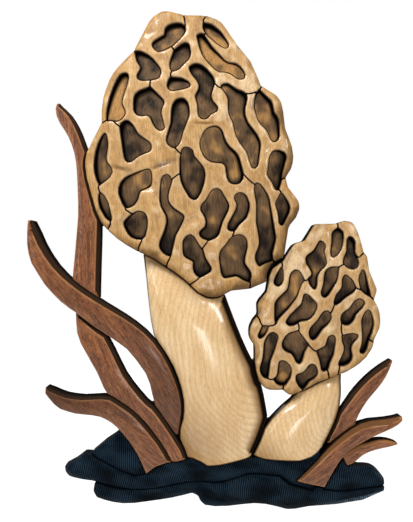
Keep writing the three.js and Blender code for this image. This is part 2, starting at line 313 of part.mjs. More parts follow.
const strips = {
  grass_right_middle: {
    left: [[404.4, 417.6], [396.5, 419.8], [386, 421.4], [374, 422.2], [362, 425.4], [351.6, 431.4],
      [341, 439], [331, 447.4], [322, 456.2], [314, 464.4], [306, 472.6], [297, 481.6]],
    right: [[405, 422], [398.4, 427.6], [390, 431.6], [381, 435.4], [371.6, 439.4], [361.4, 444.8],
      [352, 449.6], [345, 456], [339, 464], [334, 472], [329, 480], [325, 487.6]],
    edge: [16, 19.5], crown: [3.5, 4.5], stations: 15, finish: 'grass', trimmedBy: [],
  },
  grass_left_crossing: {
    left: [[27.2, 219.6], [26.4, 231], [26.2, 243], [27.6, 253], [30.6, 263], [36.6, 273.2],
      [43.6, 284.3], [51.6, 293.4], [59.6, 301.7], [67.6, 308], [75.6, 313.4], [85.4, 321.2],
      [94.4, 328], [107.2, 336.4], [117.2, 343.2], [126, 350], [135.8, 361.8], [144.7, 374.6],
      [149, 385.4], [151.4, 396.3], [154.2, 407], [160.2, 415.6], [167.6, 426.4], [175.2, 437.4]],
    right: [[31, 219.2], [37, 231.2], [42.5, 243.6], [49.2, 255], [57, 265.8], [65.8, 275],
      [73.6, 281.8], [82, 288.2], [91.4, 294.6], [101.6, 301.2], [110, 306.4], [119.6, 312.2],
      [130, 319], [140.6, 327], [151.4, 337], [160.6, 349], [168.2, 362.2], [174.6, 376.8],
      [179.4, 390.8], [181.8, 403], [182.2, 413], [180.6, 423.4], [177.6, 436.8]],
    edge: [19.5, 13], crown: [4.2, 4], stations: 24, finish: 'grass', trimmedBy: [],
  },
  ground_middle: {
    left: [[62.8, 468], [74, 462], [83.6, 454.8], [91.6, 456], [98, 461], [106, 464.8],
      [120, 472.6], [140, 478], [148, 473.6], [160, 464.6], [172, 463.4], [181, 463.3],
      [188, 459.8], [199, 459.4], [204, 464.2], [215, 464.2], [230, 461.6], [248, 458.2],
      [262, 459.8], [280, 459.2], [298, 459], [310, 455.6], [322, 449]],
    right: [[63.4, 474], [67.4, 478.2], [80, 480.6], [92, 482.6], [100, 485], [108, 487.5],
      [120, 489.6], [138, 490.5], [150, 489.9], [160, 488.5], [170, 486], [180, 484.2],
      [189, 482.9], [199, 482], [206, 482.6], [215, 483.3], [230, 480.8], [247, 474.4],
      [262, 475], [279, 476.6], [289, 485], [300, 488.3], [314, 492]],
    edge: [17, 17], crown: [4.5, 4.5], stations: 24, finish: 'ground',
    trimmedBy: ['grass_right_middle'],
  },
  large_stem: {
    left: [[140.2, 244], [142.8, 262], [145.8, 288], [148.6, 314.4], [152, 334.8], [158.4, 346],
      [168, 360], [175, 374], [180, 389], [182.6, 402], [183, 412], [181.6, 424],
      [177.6, 437], [183, 450], [189, 468]],
    right: [[221.4, 282], [226.2, 297], [232.2, 313], [240, 333], [247.4, 350], [254.4, 364],
      [260.2, 379.6], [264, 391.6], [266.4, 404.8], [269, 418], [265.8, 428], [262.2, 438],
      [258.2, 447.6], [252.4, 458], [248, 468]],
    edge: [10.5, 10.5], crown: [15, 14], stations: 18, finish: 'stem',
    trimmedBy: ['large_cap', 'small_cap', 'grass_left_crossing', 'ground_middle'],
  },
  small_stem: {
    left: [[303, 383], [295.6, 399], [286, 407], [277.6, 414.8], [270.4, 422.8], [264.4, 432],
      [259.2, 441], [254.8, 450], [251.6, 457], [251, 468]],
    right: [[345, 368], [344.4, 384], [343.9, 396.6], [342.6, 408], [339.4, 419], [335.4, 429],
      [330.4, 439], [324.6, 449], [318, 459], [311, 470]],
    edge: [10.5, 10.5], crown: [14, 13], stations: 13, finish: 'stem',
    trimmedBy: ['small_cap', 'large_stem', 'ground_middle', 'grass_right_middle'],
  },
  grass_left_tall_upper: {
    left: [[54.6, 100.8], [53, 107.2], [55.8, 117.4], [61.4, 126.4], [66.8, 135.5], [71, 146.6],
      [73.4, 157], [74.8, 171], [75.8, 194], [76.2, 211.6], [74.4, 235], [72.4, 258],
      [70.4, 279.6], [69, 301]],
    right: [[57.4, 100.2], [61, 104.2], [66.6, 109], [71.8, 116.2], [76.6, 124.8], [80.4, 133.8],
      [84, 144], [90, 158], [96, 184.5], [99.2, 214], [99.2, 235], [98.6, 256], [98, 276],
      [97.4, 306]],
    edge: [14.5, 14.5], crown: [3.8, 3.8], stations: 18, finish: 'grass',
    trimmedBy: ['large_cap', 'grass_left_crossing'],
  },
  grass_left_tall_lower: {
    left: [[73, 308], [73.8, 326], [76, 338.4], [83.8, 353.4], [90, 364.4], [96, 374.8],
      [100.2, 384.6], [105, 394.2], [112.4, 398.4], [120.4, 403.4], [127.4, 408], [136, 415],
      [146, 425.4], [155, 436.6], [163, 447.6], [174, 468]],
    right: [[92, 308], [98.6, 321.2], [104.6, 334.6], [111, 346.8], [119, 363.2], [127, 378.2],
      [136, 390], [145.6, 401.4], [154.4, 408.8], [161.4, 418], [168.2, 427.2], [174, 436.4],
      [179, 444.6], [183.4, 451.6], [187.2, 459], [190, 468]],
    edge: [14, 16.5], crown: [4, 4], stations: 20, finish: 'grass',
    trimmedBy: ['grass_left_crossing', 'large_stem', 'ground_middle'],
  },
  grass_left_low: {
    left: [[44, 387.4], [53, 390.8], [62.4, 394.8], [72.4, 396.8], [84.2, 397.8], [97, 396.8],
      [107.6, 397], [118.6, 401.4], [129.6, 407.8], [140.4, 417.2], [150.2, 428.8], [159, 441],
      [166, 452], [174, 468]],
    right: [[43.6, 394.2], [49.2, 401.2], [56.6, 408.6], [66, 412.2], [76, 414.8], [88, 415.8],
      [98, 417.2], [106.8, 421], [114, 426], [120.8, 432.6], [128.4, 441.8], [134.6, 451],
      [140, 461], [147, 478]],
    edge: [17, 18.5], crown: [4.2, 4.5], stations: 18, finish: 'grass',
    trimmedBy: ['grass_left_tall_lower', 'ground_middle'],
  },
  ground_back_left: {
    left: [[90.4, 454.4], [98.4, 447.8], [105, 442.2], [111.8, 438], [118.4, 433.4], [128, 436],
      [140, 452], [150, 470]],
    right: [[90.8, 458.4], [98, 462.6], [106, 467], [114, 471.6], [122, 475.4], [131, 478.6],
      [140, 480.6], [150, 477]],
    edge: [15.5, 15.5], crown: [4.5, 4.5], stations: 12, finish: 'ground',
    trimmedBy: ['grass_left_low', 'ground_middle'],
  },
  grass_right_upper: {
    left: [[394.6, 360.6], [381.5, 368.8], [369.6, 378.6], [361.4, 387], [354.4, 395.4],
      [348.6, 404], [342, 413.6], [336.6, 423], [332.2, 434.6], [329, 446]],
    right: [[396.6, 362.4], [391.4, 375], [385.2, 385.2], [378, 394.2], [370.8, 402.6],
      [364.8, 411.8], [360.3, 420.4], [357, 430], [352, 438], [343, 447]],
    edge: [12.5, 12.5], crown: [3.6, 4], stations: 14, finish: 'grass',
    trimmedBy: ['grass_right_middle', 'small_stem'],
  },
  grass_right_low: {
    left: [[401.4, 446], [395, 443.4], [386.8, 442], [378.8, 442.4], [370.4, 445],
      [361.2, 447.4], [352, 451.6], [343, 456.6]],
    right: [[401, 447.6], [394, 449.6], [385.6, 451.2], [376, 453.6], [367.4, 457],
      [361, 461.6], [356.4, 465.4], [349, 468.6]],
    edge: [13, 14], crown: [3, 4], stations: 11, finish: 'grass',
    trimmedBy: ['grass_right_middle'],
  },
  ground_right: {
    left: [[322, 487], [332, 476], [341, 464], [347.6, 459.6], [354.6, 466.2], [362.4, 468.4],
      [373, 468.8], [381, 473.4], [386.4, 480.6]],
    right: [[324, 490.4], [333, 491.6], [342, 492.4], [351, 491.8], [359, 490.6],
      [367, 489.4], [375, 488.4], [381, 487.6], [386.6, 486.6]],
    edge: [16, 16], crown: [5, 4.5], stations: 14, finish: 'ground',
    trimmedBy: ['grass_right_middle', 'grass_right_low', 'ground_middle'],
  },
  ground_front: {
    left: [[94.4, 480], [107, 485], [120, 487.5], [138, 488.5], [155, 487.5], [170, 484],
      [185, 481], [200, 480], [212, 481], [225, 479], [236, 477], [243, 473], [252, 472],
      [262, 473], [275, 473.5], [283, 476], [289, 483], [300, 485], [312, 487],
      [325, 488], [342, 489], [362, 487], [386, 485]],
    right: [[92.6, 491.6], [96.8, 499.4], [105.6, 502.4], [116, 504.7], [128, 505.5], [142, 504],
      [156, 502.2], [170, 500], [184, 496.9], [193.6, 494.8], [199, 498.2], [201.6, 504.7],
      [210, 507.8], [225, 508.2], [240, 506.5], [255, 505.1], [268, 506.2], [280, 509],
      [292, 511.8], [300, 509.4], [330, 506.8], [361, 503], [385.8, 492.4]],
    edge: [18, 18], crown: [4.5, 4.5], stations: 26, finish: 'ground',
    trimmedBy: ['grass_right_middle', 'ground_middle', 'ground_right'],
  },
};

// ---------- the backing and its hanger ----------

// The plywood stops about 4 mm inside the pieces it carries, and short of the tips.
const board = {
  outline: [
    [160, 16], [170, 15.4], [184, 19.4], [203, 19.6], [219, 26], [232, 46.5], [246, 64],
    [256.6, 88], [274, 99.5], [279.4, 112], [281, 126], [288.4, 149], [289, 160], [282, 175],
    [284, 189], [295, 205], [293.5, 213], [286, 223.5], [282, 245], [281.4, 254],
    [288.4, 258], [298, 246.4], [308, 243.6], [317.6, 227.6], [338, 227.4], [346, 224.4],
    [351, 226], [357, 240], [360.4, 253], [364, 258], [365.4, 272], [373, 290], [370.4, 300],
    [376.4, 314], [376, 328], [369.4, 344], [362, 356.4], [350, 365.8], [337, 371.6],
    [337, 395], [335.6, 405], [339, 416], [346, 415.4], [354.6, 402.6], [364.4, 390.6],
    [376, 380.4], [384.6, 377], [378, 388.6], [368, 400.6], [361, 413], [357.4, 427],
    [353.4, 436.6], [363, 430.4], [375, 426.4], [386, 424.8], [395.4, 422.4], [388, 427.6],
    [373, 434.4], [361, 441.4], [357.6, 452.6], [372, 448], [386, 446.6], [373, 451],
    [361, 457.4], [354, 466.6], [358, 472.4], [371, 472.8], [377.4, 477.4], [381.6, 484.6],
    [372, 494.6], [352, 500], [330, 502.4], [292, 506.4], [268, 501.4], [240, 501.4],
    [212, 502.4], [205.6, 500], [201, 491.4], [192, 489.6], [160, 496.4], [128, 500.2],
    [107, 497.6], [99.6, 492.4], [98.6, 480.6], [80, 475.4], [69, 473.4], [69, 469.4],
    [84, 459.4], [92.4, 460.4], [106.6, 446.8], [119, 438], [121.6, 436], [110.4, 424.6],
    [98, 412.4], [76, 410.2], [60, 404.8], [53, 397.4], [61, 399.4], [72, 403.6],
    [97, 404.4], [109, 402], [104.6, 392], [99.6, 377.6], [80.4, 339], [77.6, 326],
    [77, 318], [63, 298.4], [40.4, 270.4], [32.4, 252], [31.4, 237], [40, 250.4],
    [54, 270.4], [73.6, 288.4], [78.6, 235], [80.2, 205], [78.6, 160], [72, 137.4],
    [62, 119.6], [69, 122.4], [77, 140], [83, 160], [88.4, 160], [93, 143], [106, 123.6],
    [106, 112], [108.6, 93], [116, 76.4], [137.4, 52.6], [148, 31], [153.4, 19.6],
  ],
  windows: [
    [[97.5, 224], [93, 236], [92, 256], [91.6, 276], [91.8, 290], [97, 305.5], [106, 311.5],
      [115, 317.5], [125, 324.5], [135, 332.5], [145, 341.5], [152, 347], [156, 340],
      [153.4, 318], [150.3, 290], [147.3, 262], [146, 251], [133.5, 245], [121.7, 237.6],
      [111, 229]],
    [[107, 337.5], [119, 340.4], [129, 347], [139.5, 359.5], [148.7, 373], [153, 384.5],
      [155.4, 396], [155, 405], [149, 407.5], [141.7, 405.5], [131.3, 394.6], [121.8, 382],
      [113.4, 366.2], [105.5, 349.5], [103.5, 341]],
    [[223, 293], [231, 287.6], [240, 286.8], [250, 285.5], [261, 281.4], [270, 279],
      [271, 285], [269, 293], [264, 299.5], [260.6, 305], [261, 315.5], [256.4, 321.5],
      [253.2, 327.5], [252.7, 334], [254.4, 339.5], [257.5, 344], [257.6, 353], [256.6, 361],
      [251.4, 364], [244.2, 351.2], [237.2, 334.2], [229.2, 314.2]],
    [[259.5, 386], [268, 386.8], [276, 387.6], [285, 387.6], [292, 391.4], [296.4, 399.6],
      [287.4, 408.2], [279.4, 416.2], [270.8, 424.4], [264.3, 417], [262, 405.4],
      [259.6, 393]],
  ],
};
const hangerSize = { wide: 46, tall: 19, thick: 1.6 };
const hangerRebate = 1.8;                      // so that the plate lies below the back
const keyhole = { mouth: 5.6, neck: 2.4, rise: 9 };
const nailRoom = { wide: 16, tall: 15, deep: 5.1 };
const screw = { apart: 34, head: 3.4, shank: 1.3, tip: 5.3 };

// ---------- colours ----------

const finishes = {
  net: { color: 0xd9b37c, roughness: 0.42 },
  insert: { color: 0x4a3b2d, roughness: 0.5 },
  stem: { color: 0xdcb781, roughness: 0.4 },
  grass: { color: 0x8c5b3e, roughness: 0.45 },
  ground: { color: 0x18232c, roughness: 0.48 },
  plywood: { color: 0xc9ab7d, roughness: 0.7 },
  steel: { color: 0xb8bbbd, roughness: 0.35, metalness: 1 },
};

function material(name) {
  return new THREE.MeshStandardMaterial({ metalness: 0, ...finishes[name] });
}

// ---------- flat outlines ----------

// A curve through the points of one run, cut into short steps.
function runPoints(points, closed) {
  const curve = new THREE.CatmullRomCurve3(points.map(([x, y]) => new THREE.Vector3(x, y, 0)),
    closed, 'centripetal');
  const steps = Math.max(2, Math.ceil(curve.getLength() / curveStep));
  return curve.getSpacedPoints(steps).map((point) => [point.x, point.y]);
}

// Splits a closed list at its corners and smooths each run between them.
function closedCurve(points) {
  const corners = points.map((point, index) => (point[2] ? index : -1)).filter((i) => i >= 0);
  if (corners.length === 0) return thin(runPoints(points, true).slice(0, -1), true);
  const result = [];
  corners.forEach((start, order) => {
    const end = corners[(order + 1) % corners.length];
    const count = ((end - start + points.length - 1) % points.length) + 1;
    const run = [];
    for (let i = 0; i <= count; i += 1) run.push(points[(start + i) % points.length]);
    result.push(...thin(runPoints(run, false), false).slice(0, -1));
  });
  return result;
}

// Leaves out the points that lie within the tolerance of the line between those kept.
function thin(points, closed) {
  if (closed) {
    const half = Math.floor(points.length / 2);
    const first = thin(points.slice(0, half + 1), false);
    const second = thin([...points.slice(half), points[0]], false);
    return [...first.slice(0, -1), ...second.slice(0, -1)];
  }
  const [start, end] = [points[0], points[points.length - 1]];
  let worst = 0;
  let at = 0;
  points.forEach((point, index) => {
    const gap = distanceToSegment(point, start, end);
    if (gap > worst) {
      worst = gap;
      at = index;
    }
  });
  if (worst < curveTolerance) return [start, end];
  return [...thin(points.slice(0, at + 1), false).slice(0, -1), ...thin(points.slice(at), false)];
}

function distanceToSegment(point, start, end) {
  const along = [end[0] - start[0], end[1] - start[1]];
  const from = [point[0] - start[0], point[1] - start[1]];
  const length = along[0] ** 2 + along[1] ** 2;
  const product = from[0] * along[0] + from[1] * along[1];
  const share = length ? THREE.MathUtils.clamp(product / length, 0, 1) : 0;
  return Math.hypot(from[0] - share * along[0], from[1] - share * along[1]);
}

function area(points) {
  return THREE.ShapeUtils.area(points.map(([x, y]) => new THREE.Vector2(x, y)));
}

// Moves each point of a closed outline outwards, by a distance or by a rule that gives
// the distance for the outward direction at that point.
function grown(points, distance) {
  const turn = Math.sign(area(points));
  return points.map((point, index) => {
    const before = points[(index + points.length - 1) % points.length];
    const after = points[(index + 1) % points.length];
    const a = edgeNormal(before, point, turn);
    const b = edgeNormal(point, after, turn);
    const middle = new THREE.Vector2().addVectors(a, b).normalize();
    const reach = typeof distance === 'function' ? distance(middle) : distance;
    const stretch = 1 / Math.max(0.55, middle.dot(a));
    return [point[0] + middle.x * reach * stretch, point[1] + middle.y * reach * stretch];
  });
}

function edgeNormal(start, end, turn) {
  return new THREE.Vector2(end[1] - start[1], start[0] - end[0]).normalize().multiplyScalar(turn);
}

// ---------- solids ----------

// Joins equal rings of points with walls and closes both ends.
function loft(rings) {
  const size = rings[0].length;
  const last = (rings.length - 1) * size;
  const turn = Math.sign(area(rings[0]));
  const facing = (triangle) => (turn > 0 ? triangle : triangle.reverse());
  const walls = wallTriangles(rings.length, size).map(facing);
  const start = flatTriangles(rings[0]).map(([a, b, c]) => [a, c, b]);
  const lifted = (triangle) => triangle.map((index) => last + index);
  const end = flatTriangles(rings[rings.length - 1]).map(lifted);
  return solid(rings.flat(), [...walls, ...start, ...end]);
}

function wallTriangles(rings, size) {
  const triangles = [];
  for (let ring = 0; ring < rings - 1; ring += 1) {
    for (let i = 0; i < size; i += 1) {
      const j = (i + 1) % size;
      const [a, b, c, d] = [i, j, size + j, size + i].map((index) => ring * size + index);
      triangles.push([a, b, c], [a, c, d]);
    }
  }
  return triangles;
}

// Cuts a flat outline into triangles that all turn from x towards y.
function flatTriangles(ring) {
  const flat = ring.map(([x, y]) => new THREE.Vector2(x, y));
  return THREE.ShapeUtils.triangulateShape(flat, []).map(([a, b, c]) => (
    area([ring[a], ring[b], ring[c]]) < 0 ? [a, c, b] : [a, b, c]));
}

function solid(points, triangles) {
  const volume = triangles.reduce((sum, corners) => (
    sum + signedVolume(...corners.map((index) => points[index]))), 0);
  const facing = volume < 0 ? triangles.map(([a, b, c]) => [a, c, b]) : triangles;
  const mesh = new wasm.Mesh({
    numProp: 3,
    vertProperties: new Float32Array(points.flat()),
    triVerts: new Uint32Array(facing.flat()),
  });
  mesh.merge();
  return new wasm.Manifold(mesh);
}

function signedVolume(a, b, c) {
  return new THREE.Vector3(...a).dot(new THREE.Vector3(...b).cross(new THREE.Vector3(...c)));
}

// An outline at one height, or at the height that a rule gives for each point.
function at(points, height) {
  const rule = typeof height === 'function' ? height : () => height;
  return points.map(([x, y]) => [x, y, rule(x, y)]);
}

const prism = (outline, low, high) => loft([at(outline, low), at(outline, high)]);
const union = (solids) => wasm.Manifold.union(solids);

// The largest body that a cut leaves, without the scraps.
function largest(body) {
  return body.decompose().sort((a, b) => b.volume() - a.volume())[0];
}

// ---------- caps ----------

// Height of a cap's face: a low dome that falls towards its outline.
function domeOf(cap) {
  return (x, y) => {
    const [u, v] = [(x - cap.crown[0]) / cap.reach[0], (y - cap.crown[1]) / cap.reach[1]];
    return cap.crownHeight - cap.fall * Math.min(1.15, u * u + v * v);
  };
}

// The fretted cap is cut out flat and its face is then raised to the dome.
const flatShoulder = 20;
const flatFace = 22;
const flatBase = 9;

function raised(body, cap) {
  const dome = domeOf(cap);
  return body.warp((point) => {
    if (point[2] <= flatBase) return;
    const face = dome(point[0], point[1]);
    const shoulder = face - roundDepth;
    if (point[2] > flatShoulder) {
      point[2] = shoulder + (point[2] - flatShoulder) * roundDepth / (flatFace - flatShoulder);
    } else {
      point[2] = flatBase + (point[2] - flatBase) * (shoulder - flatBase) / (flatShoulder - flatBase);
    }
  });
}

function pitCutter(outline) {
  const flare = pitRound / (flatFace - flatShoulder);
  const above = 1;
  return loft([at(outline, -1), at(outline, flatShoulder), at(grown(outline, pitRound), flatFace),
    at(grown(outline, pitRound + flare * above), flatFace + above)]);
}

// A thin slab that follows the saw's path.
function kerfCutter(path) {
  const line = path.map(([x, y]) => new THREE.Vector2(x, y));
  const [low, high] = [-1, flatFace + 2];
  return sectionLoft(line.map((point, index) => {
    const before = line[Math.max(0, index - 1)];
    const after = line[Math.min(line.length - 1, index + 1)];
    const side = new THREE.Vector2(before.y - after.y, after.x - before.x).setLength(kerf / 2);
    const [a, b] = [point.clone().add(side), point.clone().sub(side)];
    return [[a.x, a.y, low], [a.x, a.y, high], [b.x, b.y, high], [b.x, b.y, low]];
  }));
}

function capBlank(cap) {
  return loft([at(cap.edge, foot), at(cap.edge, flatShoulder), at(grown(cap.edge, -rimRound), flatFace)]);
}

function capNet(cap) {
  const cutters = [...Object.values(cap.holes).map(pitCutter), ...cap.kerfs.map(kerfCutter)];
  const cut = capBlank(cap).subtract(union(cutters));
  return largest(raised(cut, cap));
}

// An insert fits close on its shallow side and stands off a little where it dips.
function insertOutline(cap, hole) {
  const dip = dipDirection(cap, hole);
  return grown(hole, (outward) => -(pitGap + pitSlack * (1 + outward.dot(dip)) / 2));
}

function centre(points) {
  const box = new THREE.Box2().setFromPoints(points.map(([x, y]) => new THREE.Vector2(x, y)));
  return box.getCenter(new THREE.Vector2());
}

function dipDirection(cap, hole) {
  return centre(hole).sub(new THREE.Vector2(...cap.dipAwayFrom)).normalize();
}

function insert(cap, hole, low) {
  const outline = insertOutline(cap, hole);
  const dip = dipDirection(cap, hole);
  const along = outline.map(([x, y]) => x * dip.x + y * dip.y);
  const [near, far] = [Math.min(...along), Math.max(...along)];
  const dome = domeOf(cap);
  const face = (x, y) => {
    const share = (x * dip.x + y * dip.y - near) / (far - near);
    return dome(x, y) - insertSink - insertDip * share;
  };
  return loft([at(outline, low), at(outline, face)]);
}

for (const cap of [largeCap, smallCap]) {
  cap.edge = closedCurve(cap.outline);
  const holes = Object.entries(cap.pits).map(([name, points]) => [name, closedCurve(points)]);
  cap.holes = Object.fromEntries(holes);
}

// The small cap's inserts share a thin web under the net, which is rebated over it.
const web = {
  thick: 1.5,
  outline: [
    [318, 228], [330, 227.2], [345, 224.6], [351, 228], [356.6, 243], [360, 257], [364, 262],
    [365, 273], [371.6, 288], [369.4, 300], [375.4, 315], [375.6, 330], [370, 342],
    [366, 353], [355, 362.6], [340, 369.4], [328, 373.6], [315, 379], [300, 387.4],
    [292, 390.6], [285, 386.4], [270, 386], [264, 381], [260, 368], [259.6, 347],
    [255, 337], [255.6, 327], [262.4, 316], [262.6, 305], [266, 298], [271.4, 291],
    [273, 278], [278.6, 269.4], [287.6, 260.6], [296.6, 248.4], [306.6, 244.6], [312.6, 232.6],
  ],
};
const webEdge = closedCurve(web.outline);

function smallCapNet() {
  const pocket = prism(grown(webEdge, joint), -1, foot + web.thick + joint);
  return largest(capNet(smallCap).subtract(pocket));
}

function smallCapInserts() {
  const plate = prism(webEdge, foot, foot + web.thick);
  const pads = Object.values(smallCap.holes).map((hole) => insert(smallCap, hole, foot));
  return union([plate, ...pads]);
}

// ---------- strips ----------

const across = [0, 0.08, 0.26, 0.5, 0.74, 0.92, 1];

// Height of the rounded face above its edge, as a share of the crown: 0 at either edge,
// 1 in the middle, and flatter between them than a circular arc.
const rounding = (share) => Math.sqrt(Math.max(0, 1 - Math.abs(2 * share - 1) ** 2.6));

function railPoints(points, count) {
  const corners = points.map(([x, y]) => new THREE.Vector3(x, y, 0));
  const curve = new THREE.CatmullRomCurve3(corners, false, 'centripetal');
  return Array.from({ length: count }, (_, index) => curve.getPoint(index / (count - 1)));
}

function stripSolid(strip) {
  const left = railPoints(strip.left, strip.stations);
  const right = railPoints(strip.right, strip.stations);
  const rings = left.map((start, index) => {
    const progress = index / (strip.stations - 1);
    const edge = THREE.MathUtils.lerp(...strip.edge, progress);
    const crown = THREE.MathUtils.lerp(...strip.crown, progress);
    const top = across.map((share) => {
      const point = start.clone().lerp(right[index], share);
      return [point.x, point.y, edge + crown * rounding(share)];
    });
    return [[start.x, start.y, foot], ...top, [right[index].x, right[index].y, foot]];
  });
  return sectionLoft(rings);
}

// Sections one after another, closed at both ends by a fan from the left foot.
function sectionLoft(rings) {
  const size = rings[0].length;
  const last = (rings.length - 1) * size;
  const triangles = wallTriangles(rings.length, size);
  for (let i = 1; i < size - 1; i += 1) {
    triangles.push([0, i + 1, i], [last, last + i, last + i + 1]);
  }
  return solid(rings.flat(), triangles);
}

function footprint(strip) {
  const left = railPoints(strip.left, strip.stations);
  const right = railPoints(strip.right, strip.stations).reverse();
  return [...left, ...right].map((point) => [point.x, point.y]);
}

const tall = 60;

function clearance(name) {
  const capEdges = { large_cap: largeCap.edge, small_cap: smallCap.edge };
  return prism(grown(capEdges[name] ?? footprint(strips[name]), joint), -1, tall);
}

function trimmedStrip(strip) {
  if (strip.trimmedBy.length === 0) return stripSolid(strip);
  return largest(stripSolid(strip).subtract(union(strip.trimmedBy.map(clearance))));
}

// ---------- backing board and hanger ----------

function rectangle([x, y], wide, high) {
  return [[x - wide / 2, y - high / 2], [x + wide / 2, y - high / 2],
    [x + wide / 2, y + high / 2], [x - wide / 2, y + high / 2]];
}

function circle([x, y], radius, sides = 24) {
  return Array.from({ length: sides }, (_, index) => {
    const angle = 2 * Math.PI * index / sides;
    return [x + radius * Math.cos(angle), y + radius * Math.sin(angle)];
  });
}

const screwPlaces = [-1, 1].map((side) => [hangPoint[0] + side * screw.apart / 2, hangPoint[1]]);

function backingBoard() {
  const fit = 0.3;
  const cuts = [
    ...board.windows.map((window) => prism(closedCurve(window), -1, boardThickness + 1)),
    prism(rectangle(hangPoint, hangerSize.wide + 2 * fit, hangerSize.tall + 2 * fit), -1, hangerRebate),
    prism(rectangle([hangPoint[0], hangPoint[1] - 1], nailRoom.wide, nailRoom.tall), -1, nailRoom.deep),
    ...screwPlaces.map((place) => prism(circle(place, screw.shank + fit, 12), -1, screw.tip + fit)),
  ];
  return largest(prism(closedCurve(board.outline), 0, boardThickness).subtract(union(cuts)));
}

// A flat steel plate with a keyhole: the nail's head goes in at the mouth, and the plate
// drops until the nail's shank sits at the top of the neck.
function hangerPlate() {
  const low = hangerRebate - hangerSize.thick - 0.1;
  const [x, y] = hangPoint;
  const holes = [
    prism(circle([x, y + keyhole.rise / 2], keyhole.mouth), -2, 4),
    prism(rectangle([x, y], 2 * keyhole.neck, keyhole.rise), -2, 4),
    prism(circle([x, y - keyhole.rise / 2], keyhole.neck, 16), -2, 4),
    ...screwPlaces.map((place) => prism(circle(place, screw.shank + 0.35, 12), -2, 4)),
    ...screwPlaces.map((place) => prism(circle(place, screw.head + 0.3, 16), -2, low + 0.9)),
  ];
  return prism(rectangle(hangPoint, hangerSize.wide, hangerSize.tall), low, low + hangerSize.thick)
    .subtract(union(holes));
}

function screwSolid(place) {
  const low = hangerRebate - hangerSize.thick - 0.1;
  return loft([at(circle(place, screw.head, 16), low + 0.1), at(circle(place, screw.head, 16), low + 0.6),
    at(circle(place, screw.shank, 16), low + 0.6), at(circle(place, screw.shank, 16), screw.tip - 0.8),
    at(circle(place, 0.4, 16), screw.tip)]);
}

// ---------- the group ----------

function geometryOf(body) {
  const mesh = body.getMesh();
  const corners = new Float32Array(mesh.numVert * 3);
  for (let i = 0; i < mesh.numVert; i += 1) {
    const [x, y, height] = mesh.vertProperties.slice(i * mesh.numProp, i * mesh.numProp + 3);
    corners.set([x - hangPoint[0], -height, hangPoint[1] - y], i * 3);
  }
  const geometry = new THREE.BufferGeometry();
  geometry.setAttribute('position', new THREE.BufferAttribute(corners, 3));
  geometry.setIndex([...mesh.triVerts].reverse());
  const merged = mergeVertices(geometry, 1e-5);
  merged.computeVertexNormals();
  return merged;
}

const plaque = new THREE.Group();
plaque.name = 'morel_intarsia_plaque';

function addPiece(name, body, finish) {
  const mesh = new THREE.Mesh(geometryOf(body), material(finish));
  mesh.name = name;
  plaque.add(mesh);
}

addPiece('backing_board', backingBoard(), 'plywood');
addPiece('hanger_plate', hangerPlate(), 'steel');
addPiece('hanger_screw_left', screwSolid(screwPlaces[0]), 'steel');
addPiece('hanger_screw_right', screwSolid(screwPlaces[1]), 'steel');
addPiece('large_cap_net', largest(capNet(largeCap).subtract(clearance('small_cap'))), 'net');
for (const [name, hole] of Object.entries(largeCap.holes)) {
  addPiece(`large_cap_insert_${name.slice(1)}`, insert(largeCap, hole, foot), 'insert');
}
addPiece('small_cap_net', smallCapNet(), 'net');
addPiece('small_cap_inserts', smallCapInserts(), 'insert');
for (const [name, strip] of Object.entries(strips)) addPiece(name, trimmedStrip(strip), strip.finish);

export default plaque;
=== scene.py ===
"""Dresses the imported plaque: fretted caps, stained inserts, stems, grass and grooved ground.

Lengths inside the shape functions are millimetres on the plaque: u to the right, v up and
h out of the wall. One function turns them into the frame's metres.
"""

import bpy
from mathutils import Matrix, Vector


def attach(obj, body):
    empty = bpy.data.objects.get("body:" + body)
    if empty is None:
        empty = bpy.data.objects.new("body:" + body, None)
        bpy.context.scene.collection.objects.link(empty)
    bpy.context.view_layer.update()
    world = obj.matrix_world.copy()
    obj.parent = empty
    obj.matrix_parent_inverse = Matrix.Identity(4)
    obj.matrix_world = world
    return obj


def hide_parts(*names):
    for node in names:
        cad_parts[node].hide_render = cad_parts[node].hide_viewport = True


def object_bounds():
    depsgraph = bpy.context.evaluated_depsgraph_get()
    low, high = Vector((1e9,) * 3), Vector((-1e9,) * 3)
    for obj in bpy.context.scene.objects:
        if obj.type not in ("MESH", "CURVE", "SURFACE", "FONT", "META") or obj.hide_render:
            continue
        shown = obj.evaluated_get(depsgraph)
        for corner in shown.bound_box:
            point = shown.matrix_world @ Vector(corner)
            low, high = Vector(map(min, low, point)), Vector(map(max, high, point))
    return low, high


bl_info = {
    "name": "Morel intarsia plaque",
    "version": (1, 0, 0),
    "blender": (4, 5, 0),
    "location": "3D View > Sidebar > Plaque",
    "description": "Carved, stained and lacquered wooden pieces on the packed plaque",
    "category": "Object",
}

import bpy
import numpy as np
from mathutils import Vector, geometry

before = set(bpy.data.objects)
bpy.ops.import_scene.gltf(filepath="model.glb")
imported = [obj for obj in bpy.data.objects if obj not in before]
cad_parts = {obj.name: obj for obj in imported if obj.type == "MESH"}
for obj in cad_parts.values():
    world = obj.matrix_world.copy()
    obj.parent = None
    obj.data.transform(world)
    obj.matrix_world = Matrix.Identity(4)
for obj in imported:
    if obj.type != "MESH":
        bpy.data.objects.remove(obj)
cad_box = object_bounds()

